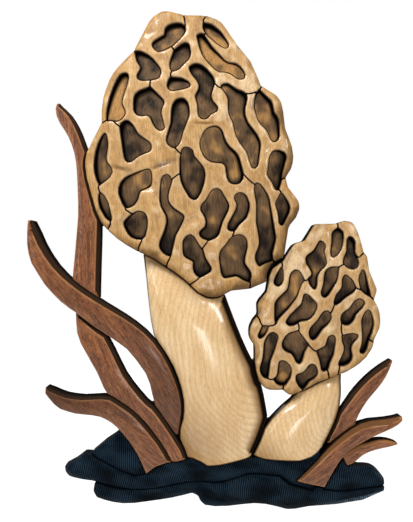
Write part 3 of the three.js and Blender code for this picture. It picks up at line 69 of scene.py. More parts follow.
SHEET_LEFT = 203.0      # the nail's place on the full-size pattern sheet, mm from its left
SHEET_TOP = 92.0        # and from its top
FOOT = 6.3              # where the glued pieces start, in front of the wall
SAW_LEVEL = 10.0        # the height at which the caps, and what covers a piece, are outlined
EDGE_LEVEL = 8.0        # and the other pieces
SAW_GAP = 1.15          # edges of a net that are closer face each other across a saw cut
LIP_GAP = 2.3           # an edge of a net this near an insert is the lip of its pit
INSERT_SINK = 1.6       # how far an insert lies below the dome on its shallow side
INSERT_DIP = 5.2        # and how much further down its deep side is
SHADE_FILM_BACK = 6.04        # the back of the dark film under a cap, painted shade seen through its gaps
SHADE_FILM_FACE = 6.28        # and its face
PLUG_SINK = 3.2         # how far the dark plug of painted shade in a saw cut's mouth ends below the dome
COVER = 1.3             # a stem's edge this near the piece over it is covered
GOLD = 0.618034         # the golden section, which spreads the tones of the inserts


def linear(code):
    """The linear colour of an sRGB hex code: c / 12.92 up to 0.04045, and above it
    ((c + 0.055) / 1.055) ** 2.4."""
    parts = [int(code[i:i + 2], 16) / 255 for i in (1, 3, 5)]
    return (*(c / 12.92 if c <= 0.04045 else ((c + 0.055) / 1.055) ** 2.4 for c in parts), 1.0)


def on_sheet(x, y):
    """A point of the pattern sheet, right and down in mm, as u, v on the plaque."""
    return np.array([x - SHEET_LEFT, SHEET_TOP - y])


# ---------------------------------------------------------------- outlines


def on_plaque(mesh):
    """A mesh's points as u, v and h, in mm on the plaque."""
    points = np.empty(len(mesh.vertices) * 3)
    mesh.vertices.foreach_get("co", points)
    return points.reshape(-1, 3)[:, [0, 2, 1]] * (1000, 1000, -1000)


def section(node, height):
    """The closed outlines, in mm, where a solid is cut at one height above the wall.

    Every triangle that crosses the cut gives one straight step from the edge that goes
    down through it to the edge that comes up, and equal end points chain the steps.
    """
    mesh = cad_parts[node].data
    corner = np.empty(len(mesh.loops), int)
    mesh.loops.foreach_get("vertex_index", corner)
    tri = on_plaque(mesh)[corner].reshape(-1, 3, 3)
    above = tri[:, :, 2] > height
    crossing = above.any(1) & ~above.all(1)
    tri, above = tri[crossing], above[crossing]
    nxt, nxt_above = np.roll(tri, -1, 1), np.roll(above, -1, 1)
    high = np.where(above[..., None], tri, nxt)
    low = np.where(above[..., None], nxt, tri)
    share = (high[..., 2] - height) / np.where(above != nxt_above, high[..., 2] - low[..., 2], 1.0)
    cut = high[..., :2] + (low - high)[..., :2] * share[..., None]
    return chained(cut[above & ~nxt_above], cut[~above & nxt_above])


def chained(start, end):
    """Joins steps into closed loops by their rounded end points."""
    key = {tuple(k): i for i, k in enumerate(np.round(start, 3).tolist())}
    after = [key.get(tuple(k), -1) for k in np.round(end, 3).tolist()]
    left, loops = set(range(len(start))), []
    while left:
        run, at = [], next(iter(left))
        while at in left:
            left.discard(at)
            run.append(at)
            at = after[at]
        if len(run) > 5:
            loops.append(start[run])
    return sorted((inward(loop) for loop in loops), key=lambda loop: -abs(area(loop)))


def area(loop):
    """Half the sum of the cross products of neighbouring points."""
    x, y = loop.T
    return 0.5 * np.sum(x * np.roll(y, -1) - np.roll(x, -1) * y)


def inward(loop):
    """The loop, turning so that the wood lies on its left."""
    return loop if area(loop) > 0 else loop[::-1]


def even(loop, step):
    """Points at equal steps of length along the closed loop."""
    closed = np.vstack([loop, loop[:1]])
    length = np.concatenate([[0], np.cumsum(np.hypot(*np.diff(closed, axis=0).T))])
    count = max(12, int(round(length[-1] / step)))
    at = np.linspace(0, length[-1], count, endpoint=False)
    return np.stack([np.interp(at, length, closed[:, 0]), np.interp(at, length, closed[:, 1])], 1)


def smoothed(values, step, width):
    """Values at equal steps round a loop, with a Gaussian of that width run along them."""
    turns = np.fft.fftfreq(len(values), step)
    return np.fft.ifft(np.fft.fft(values) * np.exp(-2 * (np.pi * turns * width) ** 2))


def eased(loop, width, step=0.25):
    """The loop with its corners eased by smoothing u + iv, the width in mm."""
    fine = even(loop, step)
    soft = smoothed(fine[:, 0] + 1j * fine[:, 1], step, width)
    return np.stack([soft.real, soft.imag], 1)


def outline(node, level, ease, step):
    """A solid's outer outline at one height, its corners eased, as evenly spaced points."""
    return even(eased(section(node, level)[0], ease), step)


def left_of(loop):
    """Unit normals that point into the wood: each tangent turned a quarter to the left."""
    along = np.roll(loop, -1, 0) - np.roll(loop, 1, 0)
    along /= np.maximum(np.hypot(*along.T), 1e-9)[:, None]
    return np.stack([-along[:, 1], along[:, 0]], 1)


def blocks(count, size=2048):
    """Slices that cover a long array a block at a time."""
    return [slice(i, i + size) for i in range(0, count, size)]


def nearest(points, line):
    """The number of the line's point nearest to each point, and how far it is: the least of
    |b|^2 - 2ab over the line's points b."""
    own = (line ** 2).sum(1)
    place = np.empty(len(points), int)
    for part in blocks(len(points)):
        place[part] = (own - 2 * points[part] @ line.T).argmin(1)
    return place, np.hypot(*(points - line[place]).T)


def distance(points, line):
    """From each point to the nearest point of the line."""
    return nearest(points, line)[1] if len(line) else np.full(len(points), 1e3)


def inside(points, loop):
    """True where a ray to the right crosses the loop an odd number of times."""
    x1, y1 = loop.T
    x2, y2 = np.roll(loop, -1, 0).T
    slope = (x2 - x1) / np.where(y2 == y1, 1e-12, y2 - y1)
    result = np.empty(len(points), bool)
    for part in blocks(len(points), 1024):
        px, py = points[part, 0:1], points[part, 1:2]
        hit = ((y1 > py) != (y2 > py)) & (px < x1 + slope * (py - y1))
        result[part] = hit.sum(1) % 2 == 1
    return result


# ---------------------------------------------------------------- surfaces


def grid_in(loop, spacing, margin):
    """Staggered rows of points, as close as spacing, inside and clear of the edge by the
    margin given for each of its points."""
    low, high = loop.min(0), loop.max(0)
    u = np.arange(low[0], high[0], spacing[0])
    v = np.arange(low[1], high[1], spacing[1])
    grid_u, grid_v = np.meshgrid(u, v)
    grid_u[1::2] += spacing[0] / 2
    points = np.stack([grid_u.ravel(), grid_v.ravel()], 1)
    place, gap = nearest(points, loop)
    points = points[gap > margin[place]]
    return points[inside(points, loop)]


def face_of(loop, width, shares, spacing):
    """Flat points and triangles inside a loop: the loop, rings that follow it at shares of
    the width of its rounding wherever they clear the other edges, and rows in the middle."""
    normal = left_of(loop)
    width = np.broadcast_to(width, len(loop))
    parts = [loop]
    for share in shares:
        depth = share * width
        ring = loop + normal * depth[:, None]
        parts.append(ring[distance(ring, loop) > 0.93 * depth])
    if spacing:
        parts.append(grid_in(loop, spacing, max(shares) * width + 0.45 * min(spacing)))
    flat = np.vstack(parts)
    result = geometry.delaunay_2d_cdt([Vector(p) for p in flat.tolist()], [],
                                      [list(range(len(loop)))], 1, 1e-7)
    points = np.array([tuple(p) for p in result[0]])
    place = np.full(len(flat), -1)
    for made, given in enumerate(result[3]):
        place[given] = made
    return points, np.array(result[2]), place[:len(loop)]


def swelling(points, triangles, held):
    """How a skin held at the points numbered swells under even pressure, as a half-width in mm.

    Solves the cotangent Laplacian of f = area by conjugate gradients. Over a long strip of
    half-width w, f is (w^2 - x^2) / 2, so the root of 2f is a half circle.
    """
    a, b, c = (points[triangles[:, i]] for i in range(3))
    weights, pairs = [], []
    for p, q, r, i, j in ((a, b, c, 1, 2), (b, c, a, 2, 0), (c, a, b, 0, 1)):
        e, f = q - p, r - p
        cross = np.abs(e[:, 0] * f[:, 1] - e[:, 1] * f[:, 0])
        weights.append(0.5 * (e * f).sum(1) / np.maximum(cross, 1e-6))
        pairs.append(triangles[:, [i, j]])
    weight, pair = np.clip(np.concatenate(weights), 0.0, 40), np.concatenate(pairs)
    cross = np.abs(np.cross(b - a, c - a)) / 6
    load = sum(np.bincount(triangles[:, i], cross, len(points)) for i in range(3))
    total = sum(np.bincount(pair[:, i], weight, len(points)) for i in range(2))
    free = np.ones(len(points), bool)
    free[held] = False

    def spread(f):
        """The Laplacian of f at the free points: all its weights times f, less the pull
        of its neighbours."""
        pull = np.bincount(pair[:, 0], weight * f[pair[:, 1]], len(f))
        pull += np.bincount(pair[:, 1], weight * f[pair[:, 0]], len(f))
        return (total * f - pull) * free

    value = np.zeros(len(points))
    rest = load * free
    scale = 1 / np.maximum(total, 1e-9)
    step = rest * scale
    size = rest @ step
    for _ in range(600):
        pushed = spread(step)
        rate = size / max(step @ pushed, 1e-12)
        value += rate * step
        rest -= rate * pushed
        ready = rest * scale
        new = rest @ ready
        if new < 1e-9:
            break
        step, size = ready + (new / size) * step, new
    return np.sqrt(np.maximum(2 * value, 0))


def widths(loop, narrow, wide, side, soft=3.0):
    """The width of the rounding at each point of a loop: narrow, and wide where the edge
    faces the side given as an angle from the right, smoothed over soft mm of the loop."""
    turn = np.radians(side)
    facing = -left_of(loop) @ (np.cos(turn), np.sin(turn))
    share = np.clip((facing - 0.15) / 0.5, 0, 1)
    step = np.hypot(*(loop[1] - loop[0]))
    share = smoothed(share * share * (3 - 2 * share), step, soft).real
    return narrow + (wide - narrow) * np.clip(share, 0, 1)


def turned(points, angle):
    """How far points lie along a line at that angle from the right, and across it."""
    turn = np.radians(angle)
    return points @ (np.cos(turn), np.sin(turn)), points @ (-np.sin(turn), np.cos(turn))


def near(gap, reach):
    """1 at an edge, falling evenly to 0 at that reach."""
    return np.clip(1 - gap / reach, 0, 1)


def rounded(gap, reach, depth):
    """Depth of a quarter-round edge: depth (1 - sqrt(1 - n^2)), where n is how near it is."""
    return depth * (1 - np.sqrt(1 - near(gap, reach) ** 2))


def around(points, x, y, far):
    """1 at a sheet point, falling off as exp(-(distance / far)^2)."""
    return np.exp(-((points - on_sheet(x, y)) ** 2).sum(1) / far ** 2)


def undulation(points, length, seed):
    """Hand-carved unevenness between -1 and 1: the mean of three sine waves of that length
    in mm, a third of a turn apart, each bent by another across it."""
    total = np.zeros(len(points))
    for number in range(3):
        along, across = turned(points, 120 * number + 25)
        bend = 0.9 * np.sin(2 * np.pi * across / (1.7 * length) + 5.0 * seed + number)
        total += np.sin(2 * np.pi * along / length + bend + 3.0 * seed + 2.0 * number)
    return total / 3


def to_frame(flat, height):
    """Millimetres on the plaque, as metres in the frame."""
    return np.stack([flat[:, 0], -np.asarray(height), flat[:, 1]], 1) / 1000


def solid(name, face, height, values, foot=FOOT):
    """A closed board: the carved face, walls down from its edge, and a flat underside.

    The face is face_of's result, height its points' heights, and values more numbers per
    face point, kept as attributes. "rim" is the distance to the edge on the face, and on a
    wall it is minus the depth below the edge.
    """
    points, triangles, edge = face
    loop, top = points[edge], height[edge]
    drops = np.array([0.5, 1.3, 3.0])
    foot = min(foot, top.min() - 0.2)
    levels = [np.maximum(top - drop, foot + 0.2) for drop in drops] + [np.full(len(edge), foot)]
    under, under_triangles, _ = face_of(loop, 0.0, (), None)
    flat = np.vstack([points] + [loop] * 4 + [under])
    heights = np.concatenate([height, *levels, np.full(len(under), foot)])
    rings = [edge] + [len(points) + i * len(edge) + np.arange(len(edge)) for i in range(4)]
    walls = [wall(rings[i], rings[i + 1]) for i in range(4)]
    base = len(points) + 4 * len(edge)
    faces = np.vstack([triangles, *walls, under_triangles[:, ::-1] + base])
    depths = np.concatenate([-np.minimum(drop, top - foot) for drop in (*drops, 30.0)])
    carried = {key: np.concatenate([value, np.tile(value[edge], 4), np.zeros(len(under))])
               for key, value in values.items()}
    carried["rim"] = np.concatenate([values["rim"], depths, np.full(len(under), -20.0)])
    return board(name, to_frame(flat, heights), faces, carried)


def wall(upper, lower):
    """Two triangles between each pair of neighbours on two equal rings."""
    a, b, c, d = upper, np.roll(upper, -1), np.roll(lower, -1), lower
    return np.vstack([np.stack([a, d, c], 1), np.stack([a, c, b], 1)])


def placed(name, data, place=(0, 0, 0), turn=(0, 0, 0)):
    """A new object in the scene, from a mesh, a light or a camera."""
    item = bpy.data.objects.new(name, data)
    item.location, item.rotation_euler = place, turn
    bpy.context.scene.collection.objects.link(item)
    return item


def board(name, points, triangles, values):
    """A triangle mesh object at the origin, smooth shaded, with its named values per point."""
    mesh = bpy.data.meshes.new(name)
    mesh.vertices.add(len(points))
    mesh.vertices.foreach_set("co", points.ravel())
    mesh.loops.add(triangles.size)
    mesh.loops.foreach_set("vertex_index", triangles.ravel())
    mesh.polygons.add(len(triangles))
    mesh.polygons.foreach_set("loop_start", np.arange(0, triangles.size, 3))
    mesh.update(calc_edges=True)
    mesh.validate()
    for key, value in values.items():
        layer = mesh.attributes.new(key, "FLOAT", "POINT")
        layer.data.foreach_set("value", value.astype(np.float32))
    mesh.shade_smooth()
    return placed(name, mesh)


def add_grain(piece, along, tilt, start, seed):
    """The board, with each point's place in the tree that it was sawn from, in mm, stored.

    The grain runs along the angle given from the upright, tilted out of the face by the
    second angle, and passes the pith at the start point. x and y are across it, z along it.
    """
    points = on_plaque(piece.data) - start
    x, length = turned(points[:, :2], along)
    z, y = turned(np.stack([length, points[:, 2]], 1), tilt)
    z += 137.0 * seed
    layer = piece.data.attributes.new("grain", "FLOAT_VECTOR", "POINT")
    layer.data.foreach_set("vector", np.stack([x, y, z], 1).astype(np.float32).ravel())
    return piece


def finish(piece, material, slot, *nodes):
    """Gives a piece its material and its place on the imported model."""
    piece.data.materials.append(material)
    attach(piece, "root")
    if nodes:
        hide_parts(*nodes)


# ---------------------------------------------------------------- caps

# Each cap: the top of its dome and how far it reaches, the height and fall of its face, the
# place its inserts tilt away from, the turn of its grain from the upright, the sides where
# its rim is broad and how broad, the place where painted light makes it palest and how far
# that goes, how dark the painted shade on its rim is and how much paler it is all over.
# Then its gouge marks and its creases, which painted shade browns, each as sheet point,
# turn, half-length and half-width, and how far the stain of the inserts that stand out, by
# their numbers, wears through to gold.
CAPS = {
    "large_cap": {
        "crown": on_sheet(190, 150), "reach": (112, 150), "height": 27.29, "fall": 4.5,
        "away": on_sheet(195, 150), "grain": 4, "rims": ((-55, 9.5),), "pale": (235, 95, 50),
        "rim_shade": 0.85, "wear_and_shade": 0.0,
        "gouges": ((151, 187, 16, 12, 4.4), (189, 224, 31, 13, 4.4), (122, 113, 30, 6, 2.6),
                   (181, 45, 15, 6, 2.4), (227, 61, -38, 8, 2.4), (211, 78, -15, 6, 2.4),
                   (254, 108, 82, 9, 2.6), (270, 148, 60, 7, 2.4), (240, 188, 5, 6, 2.6),
                   (163, 252, 25, 7, 2.6), (250, 215, 80, 10, 2.2)),
        "creases": ((119, 168, -12, 12, 1.9), (164, 165, 20, 14, 2.1), (205, 124, 0, 12, 1.8)),
        "wear_and_highlight": {1: 0.4, 2: 1.25, 3: 1.2, 7: 1.3, 8: 0.35, 10: 0.6, 11: 1.0, 14: 0.85, 17: 0.7,
                   21: 0.5, 27: 0.6},
    },
    "small_cap": {
        "crown": on_sheet(314, 304), "reach": (68, 90), "height": 26.29, "fall": 4.5,
        "away": on_sheet(352, 262), "grain": -14, "rims": ((-80, 6.0), (135, 4.4)),
        "pale": (288, 262, 34), "rim_shade": 0.75, "wear_and_shade": 0.14,
        "gouges": ((264, 299, 60, 7, 2.8), (318, 230, 10, 8, 2.6), (287, 256, 35, 8, 2.6),
                   (300, 330, 30, 6, 2.2), (330, 312, 60, 6, 2.2), (352, 372, 40, 6, 2.2)),
        "creases": ((308, 262, 40, 6, 1.8),),
        "wear_and_highlight": {1: 0.75, 2: 0.4, 9: 0.4, 13: 0.35, 15: 0.7},
    },
}


def dome(cap, points):
    """Height of the cap's face: the crown's height less fall times (u/reach)^2 + (v/reach)^2."""
    away = (points - cap["crown"]) / cap["reach"]
    return cap["height"] - cap["fall"] * np.minimum(1.15, (away ** 2).sum(1))


def saw_lines(loop, width):
    """True where another stretch of the loop, more than 3.2 mm along it, lies within the
    width of a saw cut."""
    count = len(loop)
    step = np.hypot(*(loop[1] - loop[0]))
    index = np.arange(count)
    result = np.empty(count, bool)
    for part in blocks(count, 512):
        apart = np.abs(index[part, None] - index)
        apart = np.minimum(apart, count - apart) * step
        square = ((loop[part, None] - loop) ** 2).sum(2)
        result[part] = ((square < width ** 2) & (apart > 3.2)).any(1)
    return result


def scoop(points, place, turn, length, width):
    """A gouge's mark, in mm: 0.54 width exp(-(across / width)^2 - (along / length)^2), its
    length turned by the angle given from the right."""
    along, across = turned(points - place, turn)
    return 0.54 * width * np.exp(-(across / width) ** 2 - (along / length) ** 2)


def pit_loops(name):
    """The outlines of a cap's inserts."""
    if name == "small_cap":
        return section("small_cap_inserts", SAW_LEVEL)
    nodes = sorted(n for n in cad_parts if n.startswith("large_cap_insert_"))
    return [section(n, SAW_LEVEL)[0] for n in nodes]


def cap_edges(name):
    """A net's outline, and where along it the edge is a saw cut's and where a pit's lip."""
    loop = outline(name + "_net", SAW_LEVEL, 0.75, 0.85)
    pits = np.vstack([even(pit, 0.5) for pit in pit_loops(name)])
    saw = saw_lines(loop, SAW_GAP)
    return loop, saw, ~saw & (distance(loop, pits) < LIP_GAP)


def cap_net(name, sizes):
    """The fretted board: its dome, carved a little uneven, less its gouge marks and creases, a
    round at the rim that is broad on some sides, a small one over each pit and a fine one
    along each saw cut. How near the rim it is, the painted shade of its rim and creases, and
    its hollow value, painted shade in the carved hollows and creases and painted light on the
    crests and round the lit place, are kept for the finish."""
    cap = CAPS[name]
    loop, saw, lip = cap_edges(name)
    rim_round, pit_round = 1000 * sizes.rim_round, 1000 * sizes.pit_round
    uneven = 1000 * sizes.carving
    rim_width = np.max([widths(loop, rim_round, wide, side) for side, wide in cap["rims"]], 0)
    width = np.select([saw, lip], [0.7, pit_round], rim_width)
    face = face_of(loop, width, (0.06, 0.2, 0.42, 0.7, 1.0), (1.7, 1.45))
    points = face[0]
    rim = ~saw & ~lip
    place, to_rim = nearest(points, loop[rim])
    reach = rim_width[rim][place]
    to_lip = distance(points, loop[lip])
    to_saw = distance(points, loop[saw])
    cut = np.maximum.reduce([
        rounded(to_rim, reach, 0.62 * reach),
        rounded(to_lip, pit_round, 0.8 * pit_round),
        rounded(to_saw, 0.7, 0.8)])
    cut += 0.7 * near(to_lip, 5.0) ** 2
    carving = undulation(points, 34.0, len(name) + 0.3)
    chips = undulation(points, 13.0, len(name) + 1.1)
    cut += uneven * (1 + carving) + 0.6 * uneven * (1 + chips)
    creased, gouged = (sum(scoop(points, on_sheet(x, y), *shape) for x, y, *shape in cap[marks])
                       for marks in ("creases", "gouges"))
    cut += creased + gouged
    height = dome(cap, points) - cut
    gap = np.minimum.reduce([to_rim, to_lip, to_saw])
    # Painted shade: brown on the rim, most where it is broad, and in the creases.
    broad = 0.35 + 0.65 * np.clip((reach - rim_round) / 5, 0, 1)
    shade = cap["rim_shade"] * broad * near(to_rim, 1.4 * reach + 0.6)
    shade = np.maximum(shade, 0.45 * np.clip(creased, 0, 1))
    # Painted light: the face is paler round the lit place.
    pale = around(points, *cap["pale"])
    # The hollow value is painted shade in the carved hollows and creases and painted light on the
    # crests.
    hollow = 0.5 + 0.22 * carving + 0.22 * chips - 0.36 * pale - cap["wear_and_shade"] + 0.95 * creased
    values = {"rim": gap, "lip": to_lip, "saw": to_saw, "shade": shade, "hollow": hollow}
    pith = (cap["crown"][0] - 60, cap["crown"][1], -60)
    piece = solid(name + "_net_carved", face, height, values)
    return add_grain(piece, cap["grain"], 3.5, pith, 1.3)


def shade_film(name):
    """A dark film under a cap, painted shade seen through its saw cuts and gaps: flat, out to
    the rim, and a plug 1.6 mm thick that stands in it in the mouth of each saw cut, where
    neighbours on the rim lie 1.02 to 5 mm apart."""
    loop, saw, lip = cap_edges(name)
    rim = loop[~saw & ~lip]
    face = face_of(even(rim, 2.0), 0.0, (), None)
    height = np.full(len(face[0]), SHADE_FILM_FACE)
    film = solid(name + "_shade_film", face, height, {"rim": 0 * height}, SHADE_FILM_BACK)
    step = np.roll(rim, -1, 0) - rim
    apart = np.hypot(*step.T)
    mouth = (apart > 1.02) & (apart < 5)
    side = step[mouth]
    back = 1.6 * np.stack([-side[:, 1], side[:, 0]], 1) / apart[mouth, None]
    first = rim[mouth] + 0.15 * back
    ring = np.stack([first, first + side, first + side + back, first + back], 1).reshape(-1, 2)
    top = np.repeat(dome(CAPS[name], first) - PLUG_SINK, 4)
    inside_film = np.full(len(ring), 6.1)
    points = np.vstack([to_frame(ring, inside_film), to_frame(ring, top)])
    low = np.arange(len(ring)).reshape(-1, 4)
    after, high = np.roll(low, -1, 1), low + len(ring)
    above = after + len(ring)
    faces = [np.stack([low, after, above], 2), np.stack([low, above, high], 2)]
    faces += [high[:, [0, 1, 2]], high[:, [0, 2, 3]], low[:, [0, 2, 1]], low[:, [0, 3, 2]]]
    faces = np.vstack([part.reshape(-1, 3) for part in faces])
    plugs = board(name + "_shade_plugs", points, faces, {"rim": np.full(len(points), -1.0)})
    return film, plugs


def insert_piece(name, cap, loop, seed, wear_and_highlight):
    """A stained insert: parallel to the dome, sunk, tilted down away from the cap's middle,
    a little hollow, with a small round at its edge. How deep it lies is kept for the finish,
    which paints shade darker towards its deep side."""
    loop = even(eased(loop, 0.7), 0.8)
    face = face_of(loop, 1.0, (0.15, 0.5, 1.0), (1.5, 1.3))
    points = face[0]
    middle = (loop.min(0) + loop.max(0)) / 2
    dip = (middle - cap["away"]) / np.hypot(*(middle - cap["away"]))
    along = points @ dip
    share = (along - along.min()) / np.ptp(along)
    gap = distance(points, loop)
    height = dome(cap, points) - INSERT_SINK - INSERT_DIP * share - rounded(gap, 0.9, 0.7)
    height -= 0.25 * np.sin(np.pi * np.clip(gap / 6, 0, 1))
    tone = np.full(len(points), wear_and_highlight)
    piece = solid(name, face, height, {"rim": gap, "dip": share, "tone": tone})
    pith = (middle[0] - 30, middle[1], -40)
    return add_grain(piece, 4 + 9 * np.sin(seed * 2.4), 4, pith, seed)


# ---------------------------------------------------------------- stems, grass and ground

# Every strip has the sheet points and edge heights of its two ends, the turn of its grain
# from the upright, and the way its broad side faces, as an angle from the right.
#
# A stem also has how far its middle swells, the line its growth rings close round and their
# spacing in mm, the pieces that cover its ends, the width of the painted shade on its broad
# side, the place round which a painted shadow darkens its foot and how far that goes, and
# how deep and how far its face sinks towards the cap.
STEMS = {
    "large_stem": {"ends": ((185, 260, 10.8), (215, 460, 10.8)), "swell": 0.36, "grain": 6,
                   "core": ((268, 288), (257, 335), (262, 368), (318, 402)), "rings": 5.4,
                   "covered": ("large_cap_net", "ground_middle"), "side": 18, "shade": 16.0,
                   "painted_shadow": (172, 458, 62), "sunk": (8.0, 34)},
    "small_stem": {"ends": ((315, 385, 10.8), (285, 458, 10.8)), "swell": 0.48, "grain": -6,
                   "core": ((332, 380), (322, 410), (326, 426), (356, 440)), "rings": 4.6,
                   "covered": ("small_cap_net", "ground_middle"), "side": -20, "shade": 6.0,
                   "painted_shadow": (262, 468, 30), "sunk": (6.0, 24)},
}
# A blade also has the width of its dark bevel at each end and, where they differ, how
# dark its painted shade is at each end, how deep and how far it sinks towards its first end,
# and how dark its bevel is.
BLADES = {
    "grass_left_tall_upper": {"ends": ((55, 105, 14.5), (84, 295, 14.5)), "grain": 2,
                              "side": 5, "band": (3.4, 4.0)},
    "grass_left_crossing": {"ends": ((30, 222, 19.5), (176, 436, 13)), "grain": 38,
                            "side": 42, "band": (5.2, 1.6), "painted_shadow": (0.0, 0.5)},
    "grass_left_tall_lower": {"ends": ((84, 318, 14), (184, 460, 16.5)), "grain": 28,
                              "side": 38, "band": (3.6, 3.2), "sunk": (3.8, 25)},
    "grass_left_low": {"ends": ((46, 391, 17), (160, 468, 18.5)), "grain": 52,
                       "side": 70, "band": (2.6, 3.0), "painted_shadow": (0.6, 0.1)},
    "grass_right_upper": {"ends": ((395, 367, 12.5), (334, 446, 12.5)), "grain": -42,
                          "side": 138, "band": (4.0, 2.2)},
    "grass_right_middle": {"ends": ((402, 422, 16), (311, 484, 19.5)), "grain": -58,
                           "side": 118, "band": (5.4, 2.2), "stain": 0.58},
    "grass_right_low": {"ends": ((399, 442, 13), (350, 460, 14)), "grain": -72,
                        "side": 110, "band": (2.0, 2.0), "stain": 0.3},
}
# Ground also has the turn of its grooves and how far they bend, the width of its facet, and
# how bright the facet's painted highlight is at each end.
GROUND = {
    "ground_back_left": {"ends": ((92, 452, 15.5), (146, 474, 15.5)), "grooves": 1, "bent": 0.2,
                         "side": 150, "facet": 3.5, "shine": (0.5, 0.0)},
    "ground_middle": {"ends": ((66, 468, 17), (318, 470, 17)), "grooves": -20, "bent": 1.6,
                      "side": 190, "facet": 9.0, "shine": (0.4, 0.0)},
    "ground_front": {"ends": ((96, 490, 18), (380, 488, 18)), "grooves": 3, "bent": 2.2,
                     "side": -62, "facet": 7.0, "shine": (-2.2, 1.0)},
    "ground_right": {"ends": ((330, 488, 16), (382, 480, 16)), "grooves": -27, "bent": 3.0,
                     "side": 20, "facet": 5.0, "shine": (0.0, 0.8)},
}


def along_strip(strip, points, first, last):
    """The first value at a strip's first end and the last at its last, evenly between."""
    start, end = (on_sheet(x, y) for x, y, _ in strip["ends"])
    share = np.clip((points - start) @ (end - start) / ((end - start) ** 2).sum(), 0, 1)
    return first + (last - first) * share


def edge_height(strip, points):
    """The height at a strip's edge."""
    return along_strip(strip, points, *(end[2] for end in strip["ends"]))


def covered(loop, nodes):
    """True at the points of a loop that one of the pieces named covers."""
    edges = np.vstack([even(section(n, SAW_LEVEL)[0], 0.6) for n in nodes])
    return distance(loop, edges) < COVER


def stem_piece(name, sizes):
    """A stem: edge height plus swell times the swelling of its outline, which is free where
    a cap or the ground covers it, less a small round along the edge and a hollow towards
    the cap. Its growth rings are kept as the distance from its core, and its shade is the
    most of three painted shades: on its broad side, where the face falls away, at its foot,
    where a blade shadows it, and below the cap, whose shadow falls on it."""
    strip = STEMS[name]
    loop = outline(name, EDGE_LEVEL, 0.9, 1.0)
    under = covered(loop, strip["covered"])
    points, triangles, edge = face = face_of(loop, 1.2, (0.1, 0.3, 0.6, 1.0, 1.6), (2.0, 1.8))
    round_up = swelling(points, triangles, edge[~under])
    place, gap = nearest(points, loop)
    reach = np.where(under, 0.1, widths(loop, 0.1, strip["shade"], strip["side"]))[place]
    height = edge_height(strip, points) + strip["swell"] * round_up - rounded(gap, 1.2, 1.0)
    cap = even(section(strip["covered"][0], SAW_LEVEL)[0], 1.0)
    drop, fade = strip["sunk"]
    beside = distance(points, cap)
    height = np.maximum(height - drop * near(beside, fade) ** 2, FOOT + 3)
    corners = np.array([on_sheet(*corner) for corner in strip["core"]])
    at = np.linspace(0, len(corners) - 1, 160)
    core = np.stack([np.interp(at, range(len(corners)), corners[:, i]) for i in (0, 1)], 1)
    radius = distance(points, core) + 0.9 * undulation(points, 60.0, 0.4) + 30
    # Painted shadows: round the foot's place, where a blade shades the stem, and below the cap's
    # edge.
    painted_shadow = 0.45 * around(points, *strip["painted_shadow"])
    shadowed = 0.36 * near(beside, 1000 * sizes.shadowing)
    shade = np.maximum.reduce([near(gap, reach), painted_shadow, shadowed])
    values = {"rim": gap, "shade": shade, "rings": radius / strip["rings"]}
    pith = (loop[:, 0].mean() - 60, loop[:, 1].mean(), -60)
    return add_grain(solid(name + "_carved", face, height, values), strip["grain"], 2, pith, 2.1)


def blade_piece(name, seed, sizes):
    """A blade of grass: edge height plus a low swelling, less a small round on one side and
    a steep dark bevel on the other, whose width changes along the blade, and a hollow
    towards the end that another blade crosses."""
    strip = BLADES[name]
    loop = outline(name, EDGE_LEVEL, 0.45, 0.9)
    wide = along_strip(strip, loop, *strip["band"])
    narrow = 1000 * sizes.blade_round
    width = widths(loop, narrow, wide, strip["side"], 2.0)
    rings = (0.06, 0.22, 0.5, 0.85, 1.0, 1.2)
    points, triangles, edge = face = face_of(loop, width, rings, (1.7, 1.5))
    place, gap = nearest(points, loop)
    reach = width[place]
    bevel = np.clip((reach - narrow) / np.maximum(wide[place] - narrow, 0.3), 0, 1)
    height = edge_height(strip, points) + sizes.blade_swell * swelling(points, triangles, edge)
    height += 1.0 - 0.3 * (1 + undulation(points, 42.0, seed))
    drop, fade = strip.get("sunk", (0.0, 1.0))
    from_end = np.hypot(*(points - on_sheet(*strip["ends"][0][:2])).T)
    height -= drop * near(from_end, fade) ** 2
    height -= (1 - bevel) * rounded(gap, reach, 1.2 * narrow)
    height -= bevel * 0.8 * reach * near(gap, reach)
    # Painted highlight: the ridge value lightens the rounded edge.
    ridge = gap / reach + 0.3 * (1 - bevel)
    # Painted shade: the painted shadow value darkens the ends given.
    painted_shadow = along_strip(strip, points, *strip.get("painted_shadow", (0.05, 0.05)))
    band = strip.get("stain", 1.0) * bevel * (gap < 0.9 * reach)
    values = {"rim": gap, "ridge": ridge, "band": band, "painted_shadow": painted_shadow}
    middle = (loop.min(0) + loop.max(0)) / 2
    pith = (middle[0] - 45, middle[1], -70)
    return add_grain(solid(name + "_carved", face, height, values), strip["grain"], 3, pith, seed)


